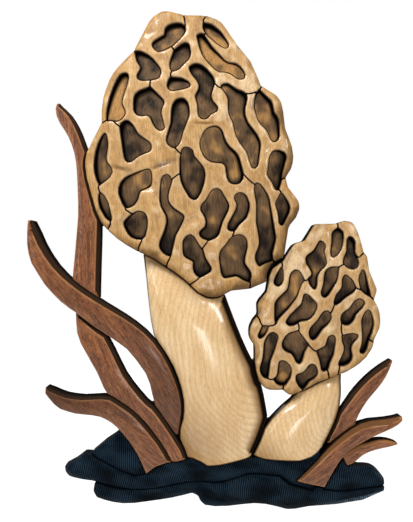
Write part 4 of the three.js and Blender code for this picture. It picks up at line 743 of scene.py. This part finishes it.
def ground_piece(name, sizes):
    """Ground: edge height plus a low swelling, carved into humps, with a facet on one side.
    The place across its bent grooves is kept for the finish, which cuts them."""
    strip = GROUND[name]
    loop = outline(name, EDGE_LEVEL, 0.8, 0.7)
    width = widths(loop, 2.0, strip["facet"], strip["side"], 4.0)
    rings = (0.05, 0.14, 0.3, 0.5, 0.7, 0.9, 1.0)
    points, triangles, edge = face = face_of(loop, width, rings, (1.1, 1.0))
    place, gap = nearest(points, loop)
    reach = width[place]
    across, _ = turned(points, strip["grooves"])
    across += strip["bent"] * np.sin(points[:, 1] / 8.0 + points[:, 0] / 31.0)
    hump = undulation(points, 46.0, 0.7) * np.clip(gap / 6, 0, 1)
    height = edge_height(strip, points) + sizes.ground_swell * swelling(points, triangles, edge)
    height += 1.2 + 1.6 * hump - rounded(gap, 1.6, 1.6)
    height -= 0.45 * (reach - 2) * near(gap, reach)
    # Painted highlight: the facet value makes the facet paler where it is lit.
    shine = np.clip(along_strip(strip, points, *strip["shine"]), 0, 1)
    facet = shine * np.clip((reach - 3) / 3, 0, 1) * np.clip(3 * (1 - gap / reach), 0, 1)
    # The hump value makes the painted light on the crests stronger on the higher humps.
    values = {"rim": gap, "across": across, "facet": facet, "hump": 0.65 + 0.35 * hump}
    return add_grain(solid(name + "_carved", face, height, values), 82, 2, (0, -380, -50), 5.2)


# ---------------------------------------------------------------- materials


def add(tree, kind, sockets, out=0, **settings):
    """Adds a node with its settings, sets or links its sockets, and gives one output."""
    node = tree.nodes.new("ShaderNode" + kind)
    for key, value in settings.items():
        setattr(node, key, value)
    for key, value in sockets.items():
        if isinstance(value, bpy.types.NodeSocket):
            tree.links.new(value, node.inputs[key])
        else:
            node.inputs[key].default_value = value
    return None if out is None else node.outputs[out]


def figure(tree, grain, across, along, detail=3.0, rough=0.5):
    """The wood's figure: noise, 0 to 1, whose spots are that many mm across and along. Fibres
    and pores are drawn a few times as wide as real ones, so that they show."""
    stretched = add(tree, "VectorMath", {0: grain, 1: (1 / across, 1 / across, 1 / along)},
                    operation="MULTIPLY")
    return add(tree, "TexNoise",
               {"Vector": stretched, "Scale": 1.0, "Detail": detail, "Roughness": rough})


def new_material(name, rough, specular, coat, coat_rough, *stored):
    """A principled shader with its gloss set, its tree, and the values stored on the points
    under the names given, of which the grain is a vector."""
    material = bpy.data.materials.new(name)
    material.use_nodes = True
    tree = material.node_tree
    shader = tree.nodes["Principled BSDF"]
    gloss = {"Roughness": rough, "Specular IOR Level": specular, "Coat Weight": coat,
             "Coat Roughness": coat_rough}
    for socket, value in gloss.items():
        shader.inputs[socket].default_value = value
    values = [add(tree, "Attribute", {}, "Vector" if key == "grain" else "Fac",
                  attribute_name=key) for key in stored]
    return (material, tree, shader, *values)


def paint(tree, shader, base, tints, relief=None, depth=0.0):
    """Gives the shader its colour, a base under tints, and a relief of that depth, in metres,
    from a height between 0 and 1. Each tint is an sRGB hex code, a value, the two values
    between which it comes in smoothly, and how strong it gets, 1 if that is left out."""
    colour = tuple(base)
    for tint, value, low, high, *most in tints:
        strength = most[0] if most else 1.0
        share = add(tree, "MapRange", {0: value, 1: low, 2: high, 3: 0.0, 4: strength},
                    interpolation_type="SMOOTHSTEP")
        colour = add(tree, "Mix", {0: share, 6: colour, 7: linear(tint)}, 2,
                     data_type="RGBA")
    tree.links.new(colour, shader.inputs["Base Color"])
    if relief is not None:
        normal = add(tree, "Bump", {"Height": relief, "Strength": 1.0, "Distance": depth})
        tree.links.new(normal, shader.inputs["Normal"])


def dull_walls(tree, shader, rim, wear_and_shade=0.0):
    """Keeps the gloss on the faces: the dark walls below a piece's edge have none, nor has the
    wood that is nearer the edge, in mm, than 24 times the value given, which for the caps
    and stems is their painted shade."""
    held = add(tree, "Math", {0: wear_and_shade, 1: -24.0, 2: rim}, operation="MULTIPLY_ADD")
    for name, whole in (("Coat Weight", 0.6), ("Specular IOR Level", 0.3)):
        gloss = shader.inputs[name]
        most = gloss.default_value
        share = add(tree, "MapRange", {0: held, 1: -0.4, 2: whole, 3: 0.0, 4: most})
        tree.links.new(share, gloss)


def cap_maple(finishes):
    """Maple of the caps under a hand-polished gloss lacquer: fine fibres, short brown flecks,
    drifts of darker wood and small glints. Painted shade browns its rim, its creases, its
    carved hollows and the lips of its pits and blackens its saw cuts; painted light makes its
    crests, its lit place and a ring round each pit paler."""
    material, tree, shader, grain, rim, lip, shade, hollow, saw = new_material(
        "lacquered_maple", 0.5, 0.3, 0.5, 0.15, "grain", "rim", "lip", "shade", "hollow", "saw")
    fibres = figure(tree, grain, 0.7, 20, 4.0, 0.65)
    drifts = figure(tree, grain, 13, 26, 4.0, 0.65)
    wear_and_shade = add(tree, "Math", {0: shade, 1: 0.5, 2: drifts}, operation="MULTIPLY_ADD")
    paint(tree, shader, finishes.cap_maple, (
        ("#CAA066", drifts, 0.36, 0.62),
        # painted shade in the carved hollows and creases, painted light on the crests and lit
        # place
        ("#745433", hollow, 0.5, 1.0, 0.6),
        ("#EED3AB", hollow, 0.4, 0.0, 0.6),
        ("#8A6238", figure(tree, grain, 9, 30, 4.0, 0.65), 0.5, 0.7, 0.45),
        ("#80592F", fibres, 0.46, 0.72, 0.5),
        ("#E6C595", fibres, 0.5, 0.3, 0.35),
        ("#5F3F20", figure(tree, grain, 0.5, 3.5, 1.0), 0.58, 0.7, 0.45),
        # a painted highlight round each pit's lip, and painted shade where it rounds into the pit
        ("#E3C090", lip, 4.5, 1.5, 0.18),
        ("#6A4C30", lip, 1.2, 0.1, 0.6),
        # painted shade browns the rim
        ("#62472F", wear_and_shade, 0.5, 0.92, 0.85),
        ("#2E2015", rim, 0.9, 0.1, 0.7),
        ("#14100D", rim, 0.2, -0.4),
        # painted shade blackens the face along each saw cut
        ("#14100D", saw, 0.75, 0.25),
    ), fibres, 0.00008)
    dull_walls(tree, shader, rim, shade)
    return material


def stem_maple(finishes):
    """Maple of the stems, cut with the growth rings nearly flat to the face so that the
    rounding shows them as nested lines, under gloss lacquer: pale, calm, with fine pores."""
    material, tree, shader, grain, rim, shade, rings = new_material(
        "ringed_maple", 0.5, 0.25, 1.0, 0.16, "grain", "rim", "shade", "rings")
    fibres = figure(tree, grain, 0.8, 12, 3.0, 0.65)
    drifts = figure(tree, grain, 16, 50, 3.0, 0.55)
    bend = figure(tree, grain, 34, 110, 1.5)
    waver = add(tree, "Math", {0: bend, 1: 3.2, 2: rings}, operation="MULTIPLY_ADD")
    ring = add(tree, "Math", {0: waver}, operation="FRACT")
    fine = add(tree, "Math", {0: waver, 1: 2.7}, operation="MULTIPLY")
    fine = add(tree, "Math", {0: fine}, operation="FRACT")
    paint(tree, shader, finishes.stem_maple, (
        ("#EBCB9B", drifts, 0.35, 0.65),
        ("#B3864F", ring, 0.3, 0.93, 0.28),
        ("#E6C796", ring, 0.93, 1.0, 0.7),
        ("#C29763", fine, 0.3, 1.0, 0.1),
        ("#AC7E49", fibres, 0.5, 0.75, 0.6),
        ("#7E5832", figure(tree, grain, 0.5, 3.0, 1.0), 0.58, 0.7, 0.35),
        # painted shade and shadow: brown, and black where the shade value is strongest
        ("#70491F", shade, 0.0, 0.55, 0.75),
        ("#14100D", shade, 0.5, 0.72),
        ("#3A2614", rim, 2.0, 0.9, 0.85),
        ("#14100D", rim, 1.1, 0.3),
    ), fibres, 0.00005)
    dull_walls(tree, shader, rim, shade)
    return material


def stained_maple(finishes):
    """Maple stained nearly black, then taken back to brown and gold in patches and on the
    inserts given: dull, with the grain showing in the stain. Painted shade darkens each
    insert towards its deep side and along its edge, and blackens its deep edge."""
    material, tree, shader, grain, rim, dip, tone = new_material(
        "stained_maple", 0.6, 0.08, 0.0, 0.25, "grain", "rim", "dip", "tone")
    fibres = figure(tree, grain, 0.9, 20, 4.0, 0.65)
    patches = figure(tree, grain, 13, 15, 1.0, 0.4)
    wear_and_shade = add(tree, "Math", {0: patches, 1: 3.4, 2: tone}, operation="MULTIPLY_ADD")
    # painted shade: less gold towards the deep side
    wear_and_shade = add(tree, "Math", {0: dip, 1: -0.35, 2: wear_and_shade}, operation="MULTIPLY_ADD")
    deep_side_shade, edge, deep = (
        add(tree, "Math", {0: dip, 1: -wide, 2: rim}, operation="MULTIPLY_ADD")
        for wide in (5.0, 1.4, 2.0))
    paint(tree, shader, finishes.insert_stain, (
        ("#685038", wear_and_shade, 1.0, 2.3),
        ("#B5874F", wear_and_shade, 2.2, 3.1, 0.9),
        ("#22180F", fibres, 0.42, 0.66, 0.45),
        ("#8A6B48", fibres, 0.5, 0.32, 0.22),
        # painted shade: darker towards the edge, most on the deep side, black at the deep edge
        ("#1C150F", deep_side_shade, 0.6, -3.0, 0.8),
        ("#15100B", edge, 0.5, -0.4, 0.85),
        ("#070605", deep, 0.0, -1.2),
    ), fibres, 0.0001)
    return material


def mahogany(finishes):
    """Mahogany under satin lacquer: red brown, with streaks and short dark pores along the
    grain, and dark brown on the sawn sides and the bevel. A painted highlight lightens the
    rounded edge, and painted shade darkens the ends given and the foot of the sides."""
    material, tree, shader, grain, rim, ridge, band, painted_shadow = new_material(
        "lacquered_mahogany", 0.45, 0.22, 0.34, 0.16, "grain", "rim", "ridge", "band", "painted_shadow")
    streaks = figure(tree, grain, 3, 60, 3.0, 0.6)
    fibres = figure(tree, grain, 0.8, 12, 3.0, 0.65)
    pores = figure(tree, grain, 0.6, 4.5, 1.0)
    wear_and_highlight = add(tree, "Math", {0: streaks, 1: 1.6, 2: ridge}, operation="MULTIPLY_ADD")
    paint(tree, shader, finishes.mahogany, (
        ("#955C38", streaks, 0.35, 0.65),
        ("#5A3520", figure(tree, grain, 9, 40, 3.0), 0.45, 0.7, 0.6),
        ("#4C2D1A", fibres, 0.45, 0.7, 0.65),
        ("#B27D4E", fibres, 0.5, 0.3, 0.5),
        ("#25160E", pores, 0.56, 0.66, 0.7),
        # painted highlight along the rounded edge, broken by the streaks
        ("#B98250", wear_and_highlight, 2.4, 1.75, 0.5),
        # painted shade towards the ends given
        ("#2C180D", painted_shadow, 0.0, 1.0),
        ("#3B271B", rim, 0.8, 0.1, 0.8),
        ("#261E19", band, 0.3, 0.8, 0.95),
        ("#1A1512", rim, 0.6, -0.2),
        # painted shade blackens the sides towards their foot
        ("#0C0907", rim, -2.5, -6.0),
    ), pores, -0.00015)
    dull_walls(tree, shader, rim, band)
    return material


def ebonised_maple(finishes, sizes):
    """Maple stained blue black, combed with grooves whose depth is a rectified sine across
    them, and waxed. Painted shade keeps the grooves black, painted light makes the crests
    slate, most on the higher humps, and a painted highlight makes the facets paler."""
    material, tree, shader, grain, rim, across, facet, hump = new_material(
        "ebonised_maple", 0.55, 0.03, 0.0, 0.3, "grain", "rim", "across", "facet", "hump")
    patches = figure(tree, grain, 9, 22, 3.0, 0.6)
    half_turns = np.pi / (1000 * sizes.groove_spacing)
    crest = add(tree, "Math", {0: across, 1: half_turns}, operation="MULTIPLY")
    for step in ("SINE", "ABSOLUTE"):
        crest = add(tree, "Math", {0: crest}, operation=step)
    # painted light on the crests, stronger on the higher humps; the black grooves are painted
    # shade
    held = add(tree, "Math", {0: hump, 1: patches}, operation="MULTIPLY")
    wear_and_shade = add(tree, "Math", {0: crest, 1: held}, operation="MULTIPLY")
    streaks = figure(tree, grain, 1.5, 5, 2.0, 0.6)
    # painted highlight on the lit facets and a little on the crests
    wear_and_highlight = add(tree, "Math", {0: facet, 1: streaks}, operation="MULTIPLY")
    wear_and_highlight = add(tree, "Math", {0: crest, 1: 0.25, 2: wear_and_highlight}, operation="MULTIPLY_ADD")
    paint(tree, shader, finishes.black_stain, (
        ("#1F2F3C", wear_and_shade, 0.1, 0.42),
        ("#6D8496", wear_and_highlight, 0.35, 0.85, 0.85),
        ("#06080B", rim, 0.5, -0.4),
    ), crest, sizes.groove_depth)
    return material


def birch_plywood(finishes):
    """Birch plywood, sanded and bare behind, with a pale face and long grain, and painted
    black in front and on its edges, which gives a flat dull black."""
    material, tree, shader = new_material("birch_plywood", 0.62, 0.3, 0.0, 0.3)
    place = add(tree, "TexCoord", {}, "Object")
    mm = add(tree, "VectorMath", {0: place, 1: (1000, 1000, 1000)}, operation="MULTIPLY")
    fibres = figure(tree, mm, 1.2, 30, 4.0, 0.6)
    depth = add(tree, "SeparateXYZ", {0: mm}, "Y")
    paint(tree, shader, finishes.plywood, (
        ("#E3C698", figure(tree, mm, 14, 90), 0.3, 0.7),
        ("#BF9762", fibres, 0.42, 0.72, 0.45),
        ("#0E0C0B", depth, -0.5, -0.7),
    ), fibres, 0.00006)
    return material


def zinc_steel(finishes):
    """Zinc-plated steel, stamped: bright grey with a faint cloudy spangle."""
    material, tree, shader = new_material("zinc_plated_steel", 0.32, 0.5, 0.0, 0.3)
    shader.inputs["Metallic"].default_value = 1.0
    place = add(tree, "TexCoord", {}, "Object")
    spangle = add(tree, "TexNoise", {"Vector": place, "Scale": 450.0, "Detail": 2.0})
    paint(tree, shader, finishes.steel, (("#8F9396", spangle, 0.35, 0.65, 0.25),))
    gloss = add(tree, "MapRange", {0: spangle, 1: 0.3, 2: 0.7, 3: 0.26, 4: 0.42})
    tree.links.new(gloss, shader.inputs["Roughness"])
    return material


# ---------------------------------------------------------------- the add-on


def length_property(name, description, default, least, most):
    """A property that holds a length in metres."""
    return bpy.props.FloatProperty(name=name, description=description, default=default,
                                   min=least, max=most, unit="LENGTH", precision=5)


def colour_property(name, description, code):
    """A property that holds a colour, which starts as that sRGB hex code."""
    return bpy.props.FloatVectorProperty(name=name, description=description, subtype="COLOR",
                                         size=4, default=linear(code))


class PlaqueSizes(bpy.types.PropertyGroup):
    """Sizes of the carving, in metres, and two rises for a piece's half-width."""

    rim_round: length_property("Cap rim", "Rounding of a cap's outer rim", 0.0034, 0.0005, 0.006)
    carving: length_property(
        "Carving", "Unevenness of a cap's face, either way", 0.0005, 0, 0.001)
    pit_round: length_property("Pit lip", "Rounding of the net over a pit", 0.0019, 0.0003, 0.003)
    # How far below its cap a stem is darkened by the painted shadow of the cap.
    shadowing: length_property(
        "Stem toasting", "How far a stem is toasted below its cap", 0.013, 0.002, 0.03)
    blade_round: length_property(
        "Blade arris", "Rounding of a blade's edge", 0.0015, 0.0003, 0.003)
    groove_spacing: length_property(
        "Groove spacing", "From one groove in the ground to the next", 0.00205, 0.001, 0.005)
    groove_depth: length_property(
        "Groove depth", "Depth of the grooves in the ground", 0.00045, 0, 0.001)
    blade_swell: bpy.props.FloatProperty(
        name="Blade swell", description="Rise of a blade's middle for its half-width",
        default=0.26, min=0, max=1, subtype="FACTOR")
    ground_swell: bpy.props.FloatProperty(
        name="Ground swell", description="Rise of the ground's middle for its half-width",
        default=0.22, min=0, max=1, subtype="FACTOR")


class PlaqueFinishes(bpy.types.PropertyGroup):
    """Base colours of the finishes, under their figure, stain and wear, and the floor's."""

    cap_maple: colour_property("Cap maple", "Lacquered maple of the caps", "#B2864E")
    stem_maple: colour_property("Stem maple", "Lacquered maple of the stems", "#DDB783")
    insert_stain: colour_property(
        "Insert stain", "Stain of the inserts where it is thickest", "#1E1814")
    mahogany: colour_property("Mahogany", "Lacquered mahogany of the grass", "#703F24")
    black_stain: colour_property("Black stain", "Stain of the ground in its grooves", "#02060A")
    plywood: colour_property("Plywood", "Bare birch plywood of the back", "#D9B888")
    steel: colour_property("Steel", "Zinc plating of the hanger", "#C2C5C7")
    floor: colour_property("Floor", "Colour of the floor", "#F6F6F5")


class CarveCaps(bpy.types.Operator):
    """Carves the two fretted cap boards"""

    bl_idname = "plaque.carve_caps"
    bl_label = "Fretted caps"

    def execute(self, context):
        wood = cap_maple(context.scene.plaque_finishes)
        for name in CAPS:
            finish(cap_net(name, context.scene.plaque_sizes), wood, "light_wood", name + "_net")
        return {"FINISHED"}


class FitInserts(bpy.types.Operator):
    """Fits the stained inserts in the pits"""

    bl_idname = "plaque.fit_inserts"
    bl_label = "Stained inserts"

    def execute(self, context):
        wood = stained_maple(context.scene.plaque_finishes)
        for name, cap in CAPS.items():
            for number, loop in enumerate(pit_loops(name), 1):
                wear_and_highlight = cap["wear_and_highlight"].get(number, 0.3 * ((number * GOLD) % 1))
                insert = "%s_insert_%02d" % (name, number)
                piece = insert_piece(insert + "_carved", cap, loop, number, wear_and_highlight)
                node = "small_cap_inserts" if name == "small_cap" else insert
                finish(piece, wood, "stained_wood", node)
        return {"FINISHED"}


class CarveStems(bpy.types.Operator):
    """Carves the two rounded stems"""

    bl_idname = "plaque.carve_stems"
    bl_label = "Stems"

    def execute(self, context):
        wood = stem_maple(context.scene.plaque_finishes)
        for name in STEMS:
            finish(stem_piece(name, context.scene.plaque_sizes), wood, "light_wood", name)
        return {"FINISHED"}


class CarveGrass(bpy.types.Operator):
    """Carves the seven blades of grass"""

    bl_idname = "plaque.carve_grass"
    bl_label = "Grass"

    def execute(self, context):
        wood = mahogany(context.scene.plaque_finishes)
        for seed, name in enumerate(BLADES, 1):
            finish(blade_piece(name, seed, context.scene.plaque_sizes), wood, "red_wood", name)
        return {"FINISHED"}


class CarveGround(bpy.types.Operator):
    """Carves the four grooved pieces of ground and lays the dark film of painted shade under the
    caps
    """

    bl_idname = "plaque.carve_ground"
    bl_label = "Ground and shading"

    def execute(self, context):
        sizes = context.scene.plaque_sizes
        wood = ebonised_maple(context.scene.plaque_finishes, sizes)
        for name in GROUND:
            finish(ground_piece(name, sizes), wood, "black_wood", name)
        for name in CAPS:
            for piece in shade_film(name):
                finish(piece, wood, "black_wood")
        return {"FINISHED"}


class FinishBack(bpy.types.Operator):
    """Gives the plywood back and its hanger their materials"""

    bl_idname = "plaque.finish_back"
    bl_label = "Back and hanger"

    def execute(self, context):
        finishes = context.scene.plaque_finishes
        plywood, steel = birch_plywood(finishes), zinc_steel(finishes)
        set_material(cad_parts["backing_board"], plywood)
        for name in ("hanger_plate", "hanger_screw_left", "hanger_screw_right"):
            set_material(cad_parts[name], steel)
        return {"FINISHED"}


def set_material(node, material):
    """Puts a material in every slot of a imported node."""
    for slot in node.material_slots:
        slot.material = material
    if not node.material_slots:
        node.data.materials.append(material)


class BuildStage(bpy.types.Operator):
    """Adds the floor, the lights, the world and the camera"""

    bl_idname = "plaque.build_stage"
    bl_label = "Stage"

    def execute(self, context):
        add_floor(context.scene.plaque_finishes)
        add_world()
        for light in LIGHTS:
            add_light(*light)
        add_camera()
        context.scene.view_settings.view_transform = "Standard"
        return {"FINISHED"}


# The soft lights: name, place, what it faces, its size across and along, all in metres, and
# its power in watts.
LIGHTS = (
    ("window_above", (-0.34, -0.48, 0.66), (0.0, 0.0, -0.2), (0.4, 0.22), 6.7),
    ("window_corner", (-0.58, -0.55, 0.53), (0.0, 0.0, -0.2), (0.16, 0.16), 2.6),
    ("window_left", (-0.62, -0.62, 0.0), (0.0, 0.0, -0.2), (0.06, 0.5), 0.7),
    ("window_right", (0.6, -0.8, 0.25), (0.05, 0.0, -0.2), (0.08, 0.4), 3.1),
    ("window_behind", (0.05, -0.9, -0.38), (0.0, 0.0, -0.25), (0.13, 0.12), 0.6),
    ("floor_light", (0.0, 2.8, 2.0), (0.0, 2.8, -1.0), (12.0, 6.0), 330.0),
)


def add_floor(finishes):
    """A wide pale floor, 0.35 m below the plaque."""
    half, level = 3.0, cad_box[0][2] - 0.35
    corners = [(x * half, y * half, level) for x, y in ((-1, -1), (1, -1), (1, 1), (-1, 1))]
    mesh = bpy.data.meshes.new("floor")
    mesh.from_pydata(corners, [], [(0, 1, 2, 3)])
    material, _, shader = new_material("pale_floor", 0.7, 0.3, 0.0, 0.3)
    shader.inputs["Base Color"].default_value = finishes.floor
    mesh.materials.append(material)
    floor = placed("floor", mesh)


def add_world():
    """A white surround that is seen at full strength and lights the piece more softly."""
    world = bpy.data.worlds.new("studio")
    bpy.context.scene.world = world
    world.use_nodes = True
    tree = world.node_tree
    tree.nodes.clear()
    seen = add(tree, "LightPath", {}, "Is Camera Ray")
    strength = add(tree, "MapRange", {0: seen, 1: 0.0, 2: 1.0, 3: 0.23, 4: 1.0})
    back = add(tree, "Background", {"Color": (1, 1, 1, 1), "Strength": strength})
    add(tree, "OutputWorld", {"Surface": back}, None)


def add_light(name, place, target, size, power):
    """A rectangular soft light that faces its target."""
    data = bpy.data.lights.new(name, "AREA")
    data.shape, data.size, data.size_y, data.energy = "RECTANGLE", *size, power
    turn = (Vector(target) - Vector(place)).to_track_quat("-Z", "Y").to_euler()
    placed(name, data, place, turn)


def add_camera():
    """A camera square to the plaque, 0.42 m in front of its face, whose view is 63 degrees
    tall."""
    data = bpy.data.cameras.new("camera")
    data.sensor_fit, data.sensor_height, data.sensor_width = "VERTICAL", 24.0, 24.0
    data.lens = 24.0 * 424.2 / 522
    camera = placed("camera", data, (0.0035, -0.445, -0.1685), (np.pi / 2, 0, 0))
    bpy.context.scene.camera = camera


class PlaquePanel(bpy.types.Panel):
    """Lists the plaque's steps, sizes and colours"""

    bl_idname = "PLAQUE_PT_steps"
    bl_label = "Plaque"
    bl_space_type = "VIEW_3D"
    bl_region_type = "UI"
    bl_category = "Plaque"

    def draw(self, context):
        for step in STEPS:
            self.layout.operator(step.bl_idname)
        for group in (context.scene.plaque_sizes, context.scene.plaque_finishes):
            for name in group.__annotations__:
                self.layout.prop(group, name)


STEPS = (CarveCaps, FitInserts, CarveStems, CarveGrass, CarveGround, FinishBack, BuildStage)
CLASSES = (PlaqueSizes, PlaqueFinishes, *STEPS, PlaquePanel)


def register():
    """Makes the classes known, and gives each scene its sizes and finishes."""
    for item in CLASSES:
        bpy.utils.register_class(item)
    bpy.types.Scene.plaque_sizes = bpy.props.PointerProperty(type=PlaqueSizes)
    bpy.types.Scene.plaque_finishes = bpy.props.PointerProperty(type=PlaqueFinishes)


def unregister():
    """Undoes register."""
    del bpy.types.Scene.plaque_sizes
    del bpy.types.Scene.plaque_finishes
    for item in reversed(CLASSES):
        bpy.utils.unregister_class(item)


def main():
    """Builds everything in order."""
    register()
    for step in STEPS:
        group, name = step.bl_idname.split(".")
        getattr(getattr(bpy.ops, group), name)()


if __name__ == "__main__":
    main()
